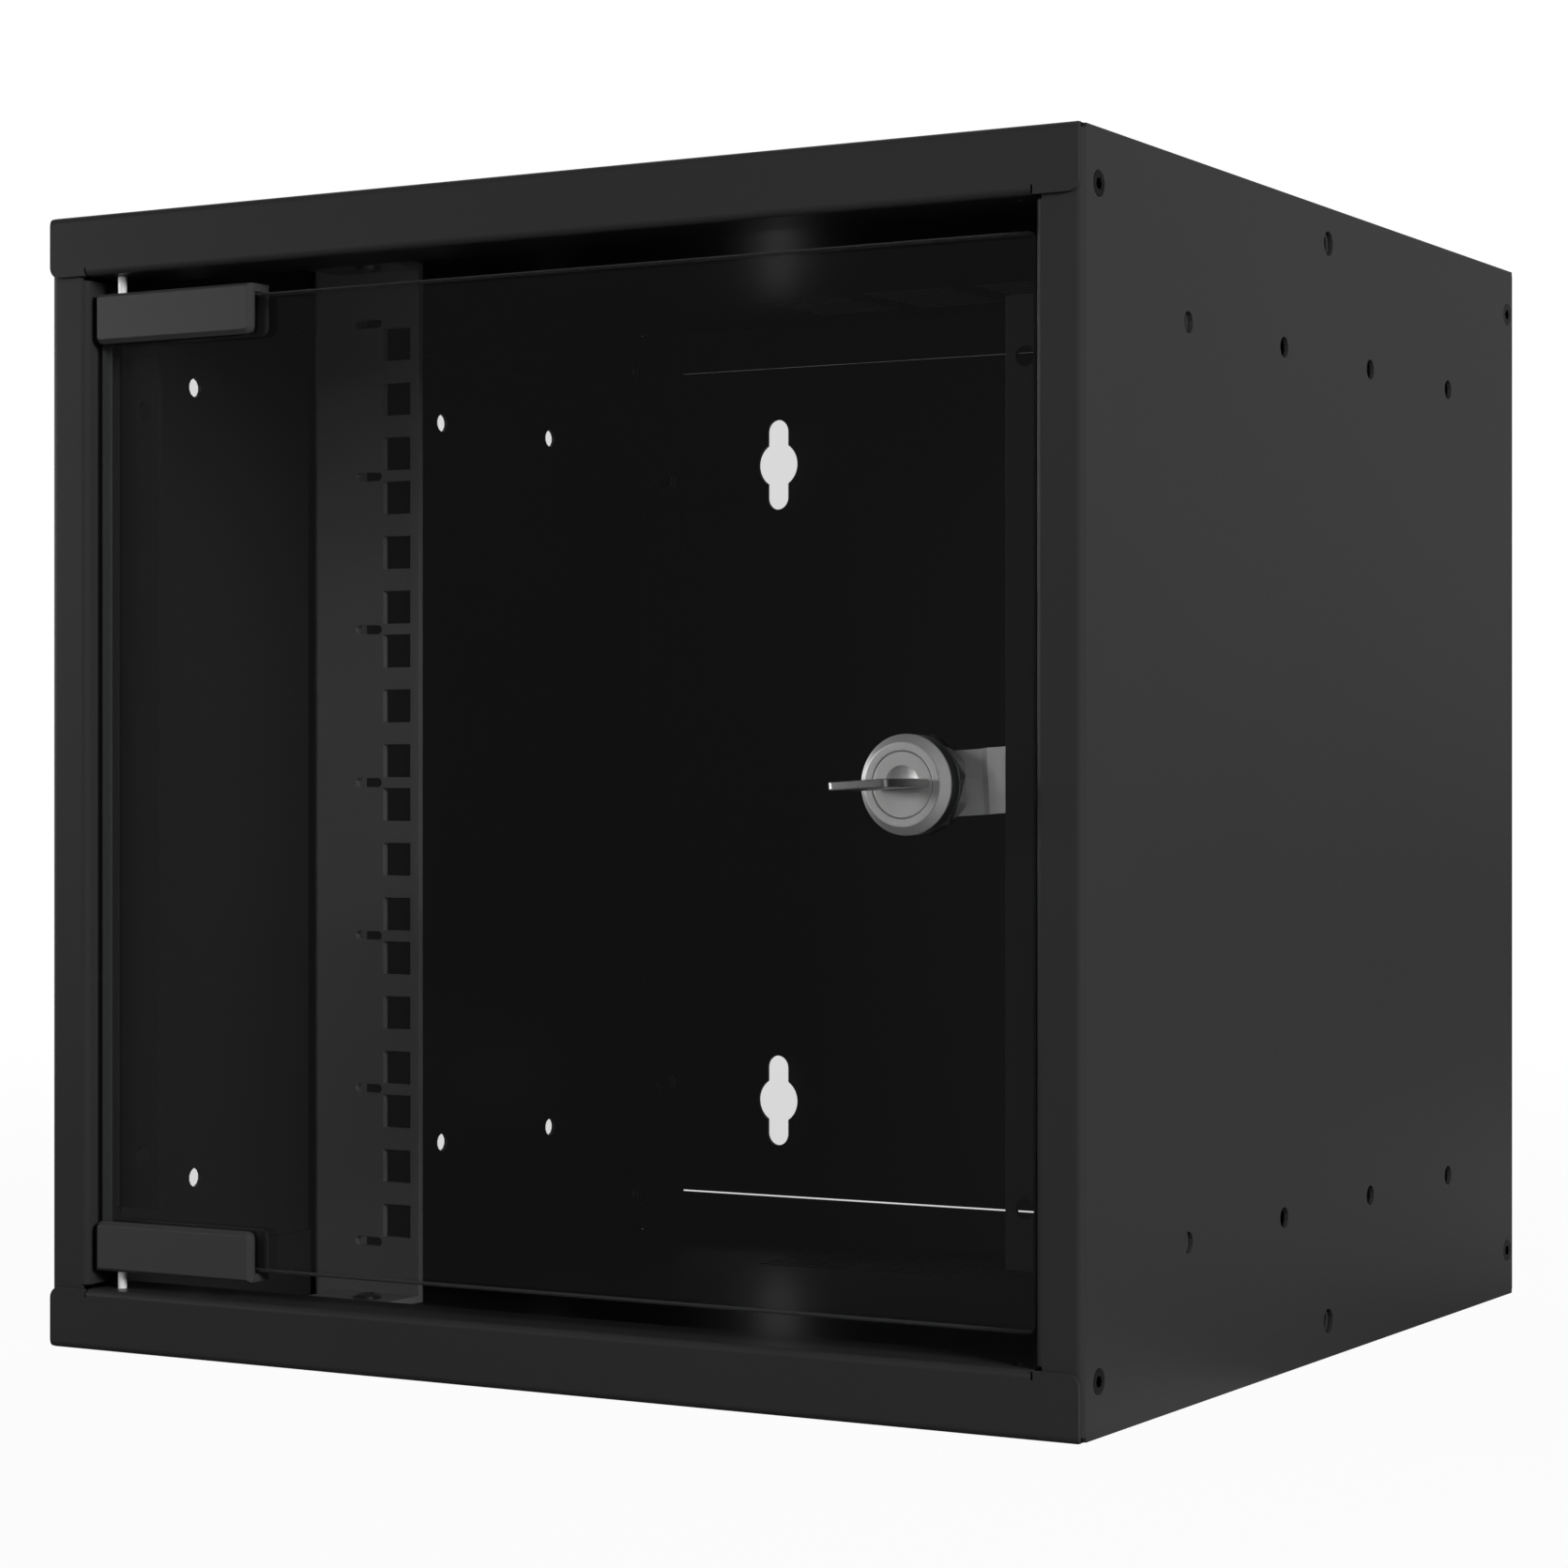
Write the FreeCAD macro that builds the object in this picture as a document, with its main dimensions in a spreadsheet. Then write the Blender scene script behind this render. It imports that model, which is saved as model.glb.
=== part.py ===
"""Ten-inch wall mount network cabinet, six units high, with a hinged glass door and a cam lock.

The cabinet is bent from sheet steel.  Two side channels, a top and a bottom tray and a back
plate make the case; a pair of punched rails carries the equipment.  The door is one pane of
glass held by two pivot clips, and a cam lock goes through the pane at the other side.

Frame: the origin is the centre of the underside, +X to the right, -Y towards the door, +Z up.
All sizes are millimetres.
"""
import FreeCAD, Part
import math
import os
import Sketcher
from FreeCAD import Rotation, Vector

DOC = FreeCAD.newDocument("network_cabinet")
SHEET = DOC.addObject("Spreadsheet::Sheet", "Sizes")

# alias, value, what it measures
DRIVING_SIZES = [
    ("width", 306.0, "over the side panels"),
    ("height", 303.0, "over the trays"),
    ("depth", 300.0, "tray front flange to back plate"),
    ("gauge", 1.2, "sheet steel of the case"),
    ("bend_outer", 1.8, "outside radius of a fold"),
    ("bend_inner", 0.5, "bevel on the inside of a fold"),
    ("case_gap", 0.1, "play between neighbouring sheets"),
    ("panel_rise", 150.1, "side channel, half its height"),
    ("wall_rise", 151.2, "side wall, half its height"),
    ("front_flange", 12.2, "side panel's front flange"),
    ("return_depth", 14.2, "flange folded back from the front"),
    ("return_rise", 134.3, "return flange, half its height"),
    ("stop_width", 15.2, "stop flange behind the pane"),
    ("stop_rise", 114.5, "stop flange, half its height"),
    ("stop_hole", 21.0, "stop flange hole from the outer face"),
    ("stop_hole_rise", 100.0, "stop flange hole from mid height"),
    ("stop_hole_bore", 4.9, "stop flange hole diameter"),
    ("rear_flange", 17.4, "side panel's rear flange"),
    ("rear_hole", 11.8, "rear flange hole from the outer face"),
    ("rear_hole_rise", 101.0, "rear flange hole from mid height"),
    ("row_first", 59.6, "first spare hole behind the front"),
    ("row_pitch", 60.5, "spare holes, one to the next"),
    ("row_rise", 111.5, "spare holes from mid height"),
    ("row_bore", 5.4, "spare hole diameter"),
    ("screw_front", 8.9, "front case screw behind the front"),
    ("screw_rear", 291.6, "rear case screw behind the front"),
    ("screw_rise", 138.2, "case screws from mid height"),
    ("middle_hole", 150.2, "middle hole behind the front"),
    ("middle_rise", 141.7, "middle hole from mid height"),
    ("screw_bore", 4.2, "clearance hole of a case screw"),
    ("screw_head", 6.5, "countersunk head of a case screw"),
    ("screw_length", 5.2, "case screw over its head"),
    ("nut_height", 2.6, "press nut above its sheet"),
    ("tray_flange", 16.2, "tray's front flange height"),
    ("tray_reach", 0.5, "front flange end from the outer face"),
    ("tray_corner", 3.0, "corner radius of the front flange"),
    ("lip_depth", 20.2, "lip folded back under the front flange"),
    ("relief_width", 0.6, "slit beside the lip"),
    ("relief_height", 2.2, "slit height"),
    ("tray_side_drop", 20.0, "tray's side flange height"),
    ("tray_rear_drop", 14.7, "tray's rear flange height"),
    ("vent_length", 30.0, "vent slot length"),
    ("vent_width", 2.2, "vent slot width"),
    ("vent_pitch_x", 37.7, "vent slots, one to the next along X"),
    ("vent_pitch_y", 4.6, "vent rows, one to the next"),
    ("vent_rows", 9, "vent rows"),
    ("vent_centre", 256.5, "middle of the vent field behind the front"),
    ("back_foot", 136.2, "back plate's lower edge below mid height"),
    ("back_head", 136.65, "back plate's upper edge above mid height"),
    ("back_inset", 1.0, "back plate edge from the outer face"),
    ("keyhole_x", 99.2, "keyholes from the centre line"),
    ("keyhole_rise", 104.9, "keyholes from mid height"),
    ("keyhole_bore", 14.8, "keyhole's round part"),
    ("keyhole_slot", 7.9, "keyhole's slot width"),
    ("keyhole_length", 29.6, "keyhole over both slot ends"),
    ("unit", 44.45, "one rack unit"),
    ("rail_spacing", 236.525, "rail holes, left to right"),
    ("rail_gauge", 2.0, "sheet steel of a rail"),
    ("rail_front", 109.9, "rail's face behind the front"),
    ("rail_edge", 3.8, "rail's outer edge from the outer face"),
    ("rail_inner", 42.5, "rail's inner edge from the outer face"),
    ("rail_side", 25.0, "rail's side flange depth"),
    ("rail_rise", 150.1, "rail, half its height"),
    ("rail_square", 9.5, "square hole"),
    ("rail_hole_outer", 15.875, "outer square hole from a unit's middle"),
    ("mark_length", 9.2, "slot between two units"),
    ("mark_width", 2.6, "height of that slot"),
    ("mark_centre", 24.7, "slot from the outer face"),
    ("tab_reach", 19.0, "rail's fixing tab in front of its face"),
    ("tab_start", 14.0, "tab edge from the outer face"),
    ("tab_screw_x", 33.0, "tab screw from the outer face"),
    ("tab_screw_y", 98.5, "tab screw behind the front"),
    ("pan_radius", 3.6, "pan head of a rail screw"),
    ("pan_height", 1.6, "its height"),
    ("pane_left", 14.0, "pane edge from the outer face"),
    ("pane_rise", 127.8, "pane, half its height"),
    ("pane_front", 3.9, "pane's front face behind the case front"),
    ("pane_thick", 4.0, "toughened glass"),
    ("pane_corner", 2.0, "corner radius of the pane"),
    ("pane_seam", 0.4, "ground bevel along the pane's edges"),
    ("clip_left", 13.6, "clip's outer end from the outer face"),
    ("clip_length", 52.4, "clip along the pane's edge"),
    ("clip_height", 13.2, "clip height"),
    ("clip_wall", 2.1, "clip wall"),
    ("clip_corner", 2.2, "radius of the clip's free corners"),
    ("clip_bevel", 1.2, "bevel at the clip's outer end"),
    ("liner_wall", 0.5, "soft liner between clip and glass"),
    ("grub_bore", 4.0, "set screw hole"),
    ("grub_rise", 5.5, "set screws from the clip's free edge"),
    ("pin_x", 19.6, "pivot from the outer face"),
    ("pin_bore", 2.4, "pivot pin diameter"),
    ("pin_play", 0.05, "pivot clearance on the radius"),
    ("pin_top", 138.6, "pin's far end from mid height"),
    ("lock_x", 258.4, "lock axis from the left outer face"),
    ("lock_drop", 0.5, "lock axis below mid height"),
    ("lock_tilt", 3.3, "lock, cam and key turned, degrees"),
    ("head_radius", 12.0, "lock head at the glass"),
    ("face_radius", 10.1, "lock head's front face"),
    ("head_depth", 2.5, "lock head thickness"),
    ("barrel_radius", 9.25, "lock barrel"),
    ("barrel_flat", 8.0, "barrel's flats from the axis"),
    ("barrel_length", 15.2, "barrel behind the glass front"),
    ("plug_radius", 7.92, "plug's front disc"),
    ("plug_seat", 1.3, "plug's shoulder behind the glass front"),
    ("plug_play", 0.1, "clearance round the plug"),
    ("core_radius", 6.5, "plug inside the barrel"),
    ("washer_thick", 0.5, "lock washer thickness"),
    ("nut_flats", 21.7, "lock nut across flats"),
    ("nut_thick", 3.0, "lock nut thickness"),
    ("cam_width", 15.7, "cam plate"),
    ("cam_thick", 1.6, "cam plate thickness"),
    ("cam_reach", 28.0, "cam's tip from the axis"),
    ("cam_offset", 4.1, "joggle of the cam"),
    ("cam_play", 0.2, "gap between barrel and cam"),
    ("joggle_start", 12.4, "joggle's bend nearer the axis, on the front side"),
    ("joggle_run", 3.4, "joggle's length along the cam"),
    ("cam_washer_radius", 6.0, "washer behind the cam"),
    ("cam_washer_thick", 0.8, "its thickness"),
    ("cam_screw_radius", 4.6, "cam screw's hexagon, over the corners"),
    ("cam_screw_height", 2.8, "cam screw's head"),
    ("spindle", 7.0, "plug's square end, over the flats"),
    ("key_width", 15.8, "key's bow"),
    ("key_length", 22.0, "bow in front of the plug"),
    ("key_thick", 2.0, "key blank"),
    ("blade_width", 8.2, "key's blade"),
    ("blade_reach", 10.5, "key's tip behind the glass front"),
    ("blade_point", 3.0, "slope at the key's tip"),
    ("key_clear", 0.4, "gap between plug and bow"),
    ("key_corner", 1.8, "corner radius of the bow"),
    ("key_ring", 4.5, "hole for a key ring"),
    ("key_ring_edge", 5.5, "that hole from the end of the bow"),
]


class Size:
    """A length that carries its number and the spreadsheet expression behind it."""

    def __init__(self, number, text):
        self.number = float(number)
        self.text = text

    def __add__(self, other):
        other = as_size(other)
        return Size(self.number + other.number, f"({self.text} + {other.text})")

    def __sub__(self, other):
        other = as_size(other)
        return Size(self.number - other.number, f"({self.text} - {other.text})")

    def __mul__(self, factor):
        factor = as_size(factor)
        return Size(self.number * factor.number, f"({self.text} * {factor.text})")

    def __truediv__(self, divisor):
        divisor = as_size(divisor)
        return Size(self.number / divisor.number, f"({self.text} / {divisor.text})")

    def __radd__(self, other):
        return as_size(other) + self

    def __rsub__(self, other):
        return as_size(other) - self

    def __rmul__(self, other):
        return as_size(other) * self

    def __neg__(self):
        return self * -1


def as_size(value):
    """Turn a plain number into a Size."""
    if isinstance(value, Size):
        return value
    return Size(value, f"({float(value):.6f})")


def fill_sheet():
    """Write the driving sizes into the sheet and return them by alias."""
    sizes = {}
    for row, (alias, value, meaning) in enumerate(DRIVING_SIZES, start=1):
        SHEET.set(f"A{row}", alias)
        SHEET.set(f"B{row}", str(value))
        SHEET.set(f"C{row}", meaning)
        SHEET.setAlias(f"B{row}", alias)
        sizes[alias] = Size(value, f"Sizes.{alias}")
    DOC.recompute()
    return sizes


D = fill_sheet()
MID = D["height"] / 2
LEFT = -1
RIGHT = 1
BOTTOM = -1
TOP = 1


def across(side, from_face):
    """X of something measured inwards from a side panel's outer face."""
    return side * (D["width"] / 2 - from_face)


def behind(distance):
    """Y of something measured back from the side panels' front face."""
    return distance + D["gauge"] - D["depth"] / 2


def level(end, from_middle):
    """Z of something measured up or down from mid height."""
    return MID + end * from_middle


def span(first, second):
    """Two places in rising order."""
    return sorted([as_size(first), as_size(second)], key=lambda size: size.number)


# How far a cut runs past the faces it opens
PAST = 1.0

# Places of a clip's two set screws along its length
GRUB_SHARES = (0.28, 0.76)

VENT_COLUMNS = 4
RACK_UNITS = 6

# Sides of the polygons that stand for small round openings, washers and small fasteners
HOLE_SIDES = 12
WASHER_SIDES = 24
FASTENER_SIDES = 8

# ---------------------------------------------------------------- modelling helpers

def bind(item, name, value):
    """Set one property, or one part of it, from the sheet."""
    item.setExpression(name, as_size(value).text)


def new_body(node):
    """Start a PartDesign body that becomes one node."""
    body = DOC.addObject("PartDesign::Body", "Body_" + node)
    body.Label = node
    return body


def new_sketch(body, plane, offset):
    """Attach a sketch to one of the body's origin planes, moved along that plane's normal."""
    sketch = body.newObject("Sketcher::SketchObject", "Sketch")
    support = [item for item in body.Origin.OriginFeatures if item.Role == plane][0]
    sketch.AttachmentSupport = [(support, "")]
    sketch.MapMode = "FlatFace"
    bind(sketch, "AttachmentOffset.Base.z", offset)
    return sketch


def fixed_point(geometry, position, x, y):
    """Constraints that hold a point of a sketch at a place given by two sizes."""
    held = []
    for kind, value in (("DistanceX", as_size(x)), ("DistanceY", as_size(y))):
        constraint = Sketcher.Constraint(kind, -1, 1, geometry, position, value.number)
        held.append((constraint, value.text))
    return held


def fixed_radius(geometry, radius):
    """Constraint that holds the radius of a circle or an arc."""
    return [(Sketcher.Constraint("Radius", geometry, radius.number), radius.text)]


def joined(kind, *ends):
    """Constraint that joins the ends of two curves."""
    return [(Sketcher.Constraint(kind, *ends), None)]


def hold(sketch, held):
    """Add constraints to a sketch together and bind their values to the sheet."""
    indexes = sketch.addConstraint([constraint for constraint, text in held])
    for index, (constraint, text) in zip(indexes, held):
        if text:
            sketch.setExpression(f"Constraints[{index}]", text)


def draw_outline(sketch, points):
    """Draw a closed outline of straight lines through the given points."""
    spots = [Vector(as_size(x).number, as_size(y).number, 0) for x, y in points]
    sides = [Part.LineSegment(start, end) for start, end in zip(spots, spots[1:] + spots[:1])]
    lines = list(sketch.addGeometry(sides, False))
    held = []
    for line, point in zip(lines, points):
        held += fixed_point(line, 1, *point)
    for line, following in zip(lines, lines[1:] + lines[:1]):
        held += joined("Coincident", line, 2, following, 1)
    hold(sketch, held)


def draw_circle(sketch, x, y, diameter):
    """Draw one circle."""
    radius = as_size(diameter) / 2
    centre = Vector(as_size(x).number, as_size(y).number, 0)
    ring = sketch.addGeometry(Part.Circle(centre, Vector(0, 0, 1), radius.number), False)
    hold(sketch, fixed_point(ring, 3, x, y) + fixed_radius(ring, radius))


def draw_ring(sketch, x, y, diameter):
    """Draw a small round opening as a regular polygon, which keeps the facets few."""
    radius = as_size(diameter) / (2 * math.sqrt(math.cos(math.pi / HOLE_SIDES)))
    points = []
    for number in range(HOLE_SIDES):
        angle = 2 * math.pi * (number + 0.5) / HOLE_SIDES
        points.append((x + radius * math.cos(angle), y + radius * math.sin(angle)))
    draw_outline(sketch, points)


def half_circle(centre, radius, first_degrees):
    """An arc of 180 degrees."""
    circle = Part.Circle(centre, Vector(0, 0, 1), radius)
    begin = math.radians(first_degrees)
    return Part.ArcOfCircle(circle, begin, begin + math.pi)


def draw_flat_slot(sketch, x, y, length, width):
    """Draw a slot along the sketch's first axis, with bevelled ends that keep the facets few."""
    half = length / 2
    rise = width / 2
    trim = width * 0.3
    draw_outline(sketch, [
        (x - half, y - rise + trim), (x - half + trim, y - rise), (x + half - trim, y - rise),
        (x + half, y - rise + trim), (x + half, y + rise - trim), (x + half - trim, y + rise),
        (x - half + trim, y + rise), (x - half, y + rise - trim)])


# A pad starts at its sketch and follows the plane's normal; a pocket goes the other way.
NORMAL_SIGN = {"XY_Plane": 1, "XZ_Plane": -1, "YZ_Plane": 1}


def pad(body, plane, low, high, draw):
    """Add material between two levels of the plane's axis; draw fills the sketch."""
    low = as_size(low)
    high = as_size(high)
    start = low if NORMAL_SIGN[plane] > 0 else -high
    sketch = new_sketch(body, plane, start)
    draw(sketch)
    feature = body.newObject("PartDesign::Pad", "Pad")
    feature.Profile = sketch
    bind(feature, "Length", high - low)
    body.Tip = feature
    DOC.recompute()
    return feature


def cut(body, plane, low, high, draw):
    """Take material away between two levels of the plane's axis."""
    low = as_size(low)
    high = as_size(high)
    before = body.Shape.Volume
    start = high if NORMAL_SIGN[plane] > 0 else -low
    sketch = new_sketch(body, plane, start)
    draw(sketch)
    feature = body.newObject("PartDesign::Pocket", "Pocket")
    feature.Profile = sketch
    bind(feature, "Length", high - low)
    body.Tip = feature
    DOC.recompute()
    if body.Shape.isNull() or body.Shape.Volume >= before:
        raise RuntimeError(f"a pocket of {body.Label} cuts nothing")
    return feature


def repeat(body, feature, axis, count, length):
    """Repeat the body's last feature along one of its origin axes."""
    pattern = body.newObject("PartDesign::LinearPattern", "LinearPattern")
    pattern.Originals = [feature]
    support = [item for item in body.Origin.OriginFeatures if item.Role == axis][0]
    pattern.Direction = (support, [""])
    pattern.Occurrences = count
    bind(pattern, "Length", length)
    body.Tip = pattern
    DOC.recompute()
    if body.Shape.isNull() or body.Shape.Volume >= feature.Shape.Volume:
        raise RuntimeError(f"a pattern of {body.Label} fails")
    return pattern


def edges_along(body, axis, places, central=False):
    """Names of the edges that run along an axis through the given places on the other two."""
    others = [index for index in range(3) if index != axis]
    targets = [[as_size(value).number for value in place] for place in places]
    names = []
    for number, edge in enumerate(body.Shape.Edges, start=1):
        ends = [vertex.Point for vertex in edge.Vertexes]
        if len(ends) != 2:
            continue
        if any(abs(ends[0][index] - ends[1][index]) > 0.001 for index in others):
            continue
        if central and ends[0][axis] * ends[1][axis] > 0:
            continue
        spot = [ends[0][index] for index in others]
        if any(math.dist(spot, target) < 0.01 for target in targets):
            names.append(f"Edge{number}")
    if not names:
        raise RuntimeError(f"no edge found on {body.Label}")
    return names


def soften(body, kind, size_name, size, names):
    """Fillet or chamfer the named edges of the body's last feature."""
    base = body.Tip
    feature = body.newObject("PartDesign::" + kind, kind)
    feature.Base = (base, names)
    bind(feature, size_name, size)
    body.Tip = feature
    DOC.recompute()
    if body.Shape.isNull():
        raise RuntimeError(f"a {kind.lower()} of {body.Label} fails")
    return feature


def fillet(body, axis, radius, places, central=False):
    """Round the edges along an axis at the given places, or only those across the middle."""
    return soften(body, "Fillet", "Radius", radius, edges_along(body, axis, places, central))


def bevel(body, axis, size, places):
    """Chamfer the edges along an axis at the given places."""
    return soften(body, "Chamfer", "Size", size, edges_along(body, axis, places))


def rectangle(x_low, x_high, y_low, y_high):
    """Corner points of a rectangle."""
    return [(x_low, y_low), (x_high, y_low), (x_high, y_high), (x_low, y_high)]


def outline(points):
    """A drawing routine for one closed outline."""
    return lambda sketch: draw_outline(sketch, points)


# Turns that point a primitive's own +Z along another axis
ALONG = {
    "+X": Rotation(Vector(0, 1, 0), 90),
    "-X": Rotation(Vector(0, 1, 0), -90),
    "+Y": Rotation(Vector(1, 0, 0), -90),
    "-Y": Rotation(Vector(1, 0, 0), 90),
    "+Z": Rotation(),
    "-Z": Rotation(Vector(1, 0, 0), 180),
}
STEP_ALONG = {"+X": (1, 0, 0), "-X": (-1, 0, 0), "+Y": (0, 1, 0),
              "-Y": (0, -1, 0), "+Z": (0, 0, 1), "-Z": (0, 0, -1)}


def locate(item, place, direction, forward):
    """Put a primitive at a place, pointing along an axis and moved forward along it."""
    item.Placement = FreeCAD.Placement(Vector(), ALONG[direction])
    for name, value, step in zip("xyz", place, STEP_ALONG[direction]):
        bind(item, f"Placement.Base.{name}", as_size(value) + step * as_size(forward))


def cylinder(place, direction, forward, radius, length):
    """A Part cylinder bound to the sheet."""
    item = DOC.addObject("Part::Cylinder", "Cylinder")
    bind(item, "Radius", radius)
    bind(item, "Height", length)
    locate(item, place, direction, forward)
    return item


def prism(place, direction, forward, radius, length, sides=FASTENER_SIDES):
    """A Part prism with regular sides, bound to the sheet."""
    item = DOC.addObject("Part::Prism", "Prism")
    item.Polygon = sides
    bind(item, "Circumradius", radius)
    bind(item, "Height", length)
    locate(item, place, direction, forward)
    return item


def frustum(place, direction, forward, radius_start, radius_end, length):
    """A loft between two regular polygons: the head of a small screw."""
    ends = []
    for radius, reach in ((radius_start, forward), (radius_end, as_size(forward) + length)):
        ring = DOC.addObject("Part::RegularPolygon", "Ring")
        ring.Polygon = FASTENER_SIDES
        bind(ring, "Circumradius", radius)
        locate(ring, place, direction, reach)
        ends.append(ring)
    DOC.recompute()
    loft = DOC.addObject("Part::Loft", "Loft")
    loft.Sections = ends
    loft.Solid = True
    loft.Ruled = True
    return loft


def fuse(*items):
    """Join solids."""
    result = DOC.addObject("Part::MultiFuse", "Fuse")
    result.Shapes = list(items)
    result.Refine = True
    return result


def take_away(base, tool):
    """Cut one solid from another."""
    result = DOC.addObject("Part::Cut", "Cut")
    result.Base = base
    result.Tool = tool
    return result


def group(node, items):
    """Gather separate solids in one node."""
    result = DOC.addObject("Part::Compound", "Group_" + node)
    result.Links = items
    result.Label = node
    return result


def sunk_screw(place, direction):
    """A countersunk screw; place is its head's middle, direction the way it goes in."""
    sheet = D["gauge"]
    head = frustum(place, direction, 0, D["screw_head"] / 2 - 0.1, D["screw_bore"] / 2 - 0.1, sheet)
    shank = prism(place, direction, sheet / 2, D["screw_bore"] / 2 - 0.15,
                  D["screw_length"] - sheet / 2)
    return fuse(head, shank)


def ring_nut(place, direction):
    """A round press nut that stands on a sheet."""
    length = D["nut_height"]
    outside = prism(place, direction, 0, D["screw_bore"] - 0.5, length)
    hole = prism(place, direction, -0.5, D["screw_bore"] / 2, length + 1)
    return take_away(outside, hole)


# ---------------------------------------------------------------- the case

def sunk_holes(body, plane, face, inward, places):
    """Countersunk holes through one sheet: tapered pockets from its outer face."""
    before = body.Shape.Volume
    sketch = new_sketch(body, plane, face * NORMAL_SIGN[plane])
    for x, y in places:
        draw_ring(sketch, x, y, D["screw_head"])
    feature = body.newObject("PartDesign::Pocket", "Countersink")
    feature.Profile = sketch
    feature.Reversed = inward * NORMAL_SIGN[plane] > 0
    bind(feature, "Length", D["gauge"])
    slope = (D["screw_head"].number - D["screw_bore"].number) / 2 / D["gauge"].number
    feature.TaperAngle = -math.degrees(math.atan(slope))
    body.Tip = feature
    DOC.recompute()
    if body.Shape.isNull() or body.Shape.Volume >= before:
        raise RuntimeError(f"a countersink of {body.Label} cuts nothing")


def make_side_panel(node, side):
    """A channel with front, return, stop and rear flanges, folded from one sheet."""
    body = new_body(node)
    sheet = D["gauge"]
    corner = D["front_flange"] - D["bend_outer"]
    channel = [(0, 0), (corner, 0), (corner, sheet), (sheet, sheet),
               (sheet, D["depth"] - 3 * sheet), (D["rear_flange"], D["depth"] - 3 * sheet),
               (D["rear_flange"], D["depth"] - 2 * sheet), (0, D["depth"] - 2 * sheet)]
    back_fold = D["return_depth"]
    inner = D["front_flange"] - sheet
    tip = inner + D["stop_width"]
    stop = [(corner, 0), (D["front_flange"], 0), (D["front_flange"], back_fold - sheet),
            (tip, back_fold - sheet), (tip, back_fold), (inner, back_fold),
            (inner, sheet), (corner, sheet)]

    def plan(points):
        return outline([(across(side, u), behind(v)) for u, v in points])

    pad(body, "XY_Plane", level(BOTTOM, D["panel_rise"]), level(TOP, D["panel_rise"]), plan(channel))
    pad(body, "XY_Plane", level(BOTTOM, D["return_rise"]), level(TOP, D["return_rise"]), plan(stop))
    fold_end = D["bend_outer"]
    wall = rectangle(0 * sheet, sheet, fold_end, D["depth"] - 2 * sheet - fold_end)
    for end in (BOTTOM, TOP):
        pad(body, "XY_Plane", *span(level(end, D["panel_rise"] - sheet), level(end, D["wall_rise"])),
            plan(wall))
        spare = rectangle(D["front_flange"], tip + PAST, back_fold - sheet - PAST, back_fold + PAST)
        cut(body, "XY_Plane", *span(level(end, D["stop_rise"]), level(end, D["return_rise"] + PAST)),
            plan(spare))
    outer = [(0, 0), (D["front_flange"], 0), (inner, back_fold), (0, D["depth"] - 2 * sheet)]
    folded = [(sheet, sheet), (inner, sheet), (D["front_flange"], back_fold - sheet),
              (sheet, D["depth"] - 3 * sheet)]
    fillet(body, 2, D["bend_outer"], [(across(side, u), behind(v)) for u, v in outer])
    bevel(body, 2, D["bend_inner"], [(across(side, u), behind(v)) for u, v in folded])

    wall_cut = span(across(side, -1 * sheet), across(side, 2 * sheet))

    def first_holes(sketch):
        for end in (BOTTOM, TOP):
            draw_ring(sketch, behind(D["row_first"]), level(end, D["row_rise"]), D["row_bore"])

    def middle_holes(sketch):
        for end in (BOTTOM, TOP):
            draw_ring(sketch, behind(D["middle_hole"]), level(end, D["middle_rise"]),
                      D["screw_head"])

    first = cut(body, "YZ_Plane", *wall_cut, first_holes)
    repeat(body, first, "Y_Axis", 4, 3 * D["row_pitch"])
    cut(body, "YZ_Plane", *wall_cut, middle_holes)
    sunk_holes(body, "YZ_Plane", across(side, 0), -side, [
        (behind(depth), level(end, D["screw_rise"]))
        for end in (BOTTOM, TOP) for depth in (D["screw_front"], D["screw_rear"])])

    def stop_holes(sketch):
        for end in (BOTTOM, TOP):
            draw_ring(sketch, across(side, D["stop_hole"]), level(end, D["stop_hole_rise"]),
                      D["stop_hole_bore"])

    def rear_holes(sketch):
        for end in (BOTTOM, TOP):
            draw_ring(sketch, across(side, D["rear_hole"]), level(end, D["rear_hole_rise"]),
                      D["screw_bore"])

    cut(body, "XZ_Plane", behind(back_fold - sheet - PAST), behind(back_fold + PAST), stop_holes)
    cut(body, "XZ_Plane", behind(D["depth"] - 3 * sheet - PAST), behind(D["depth"]), rear_holes)
    return body


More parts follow.
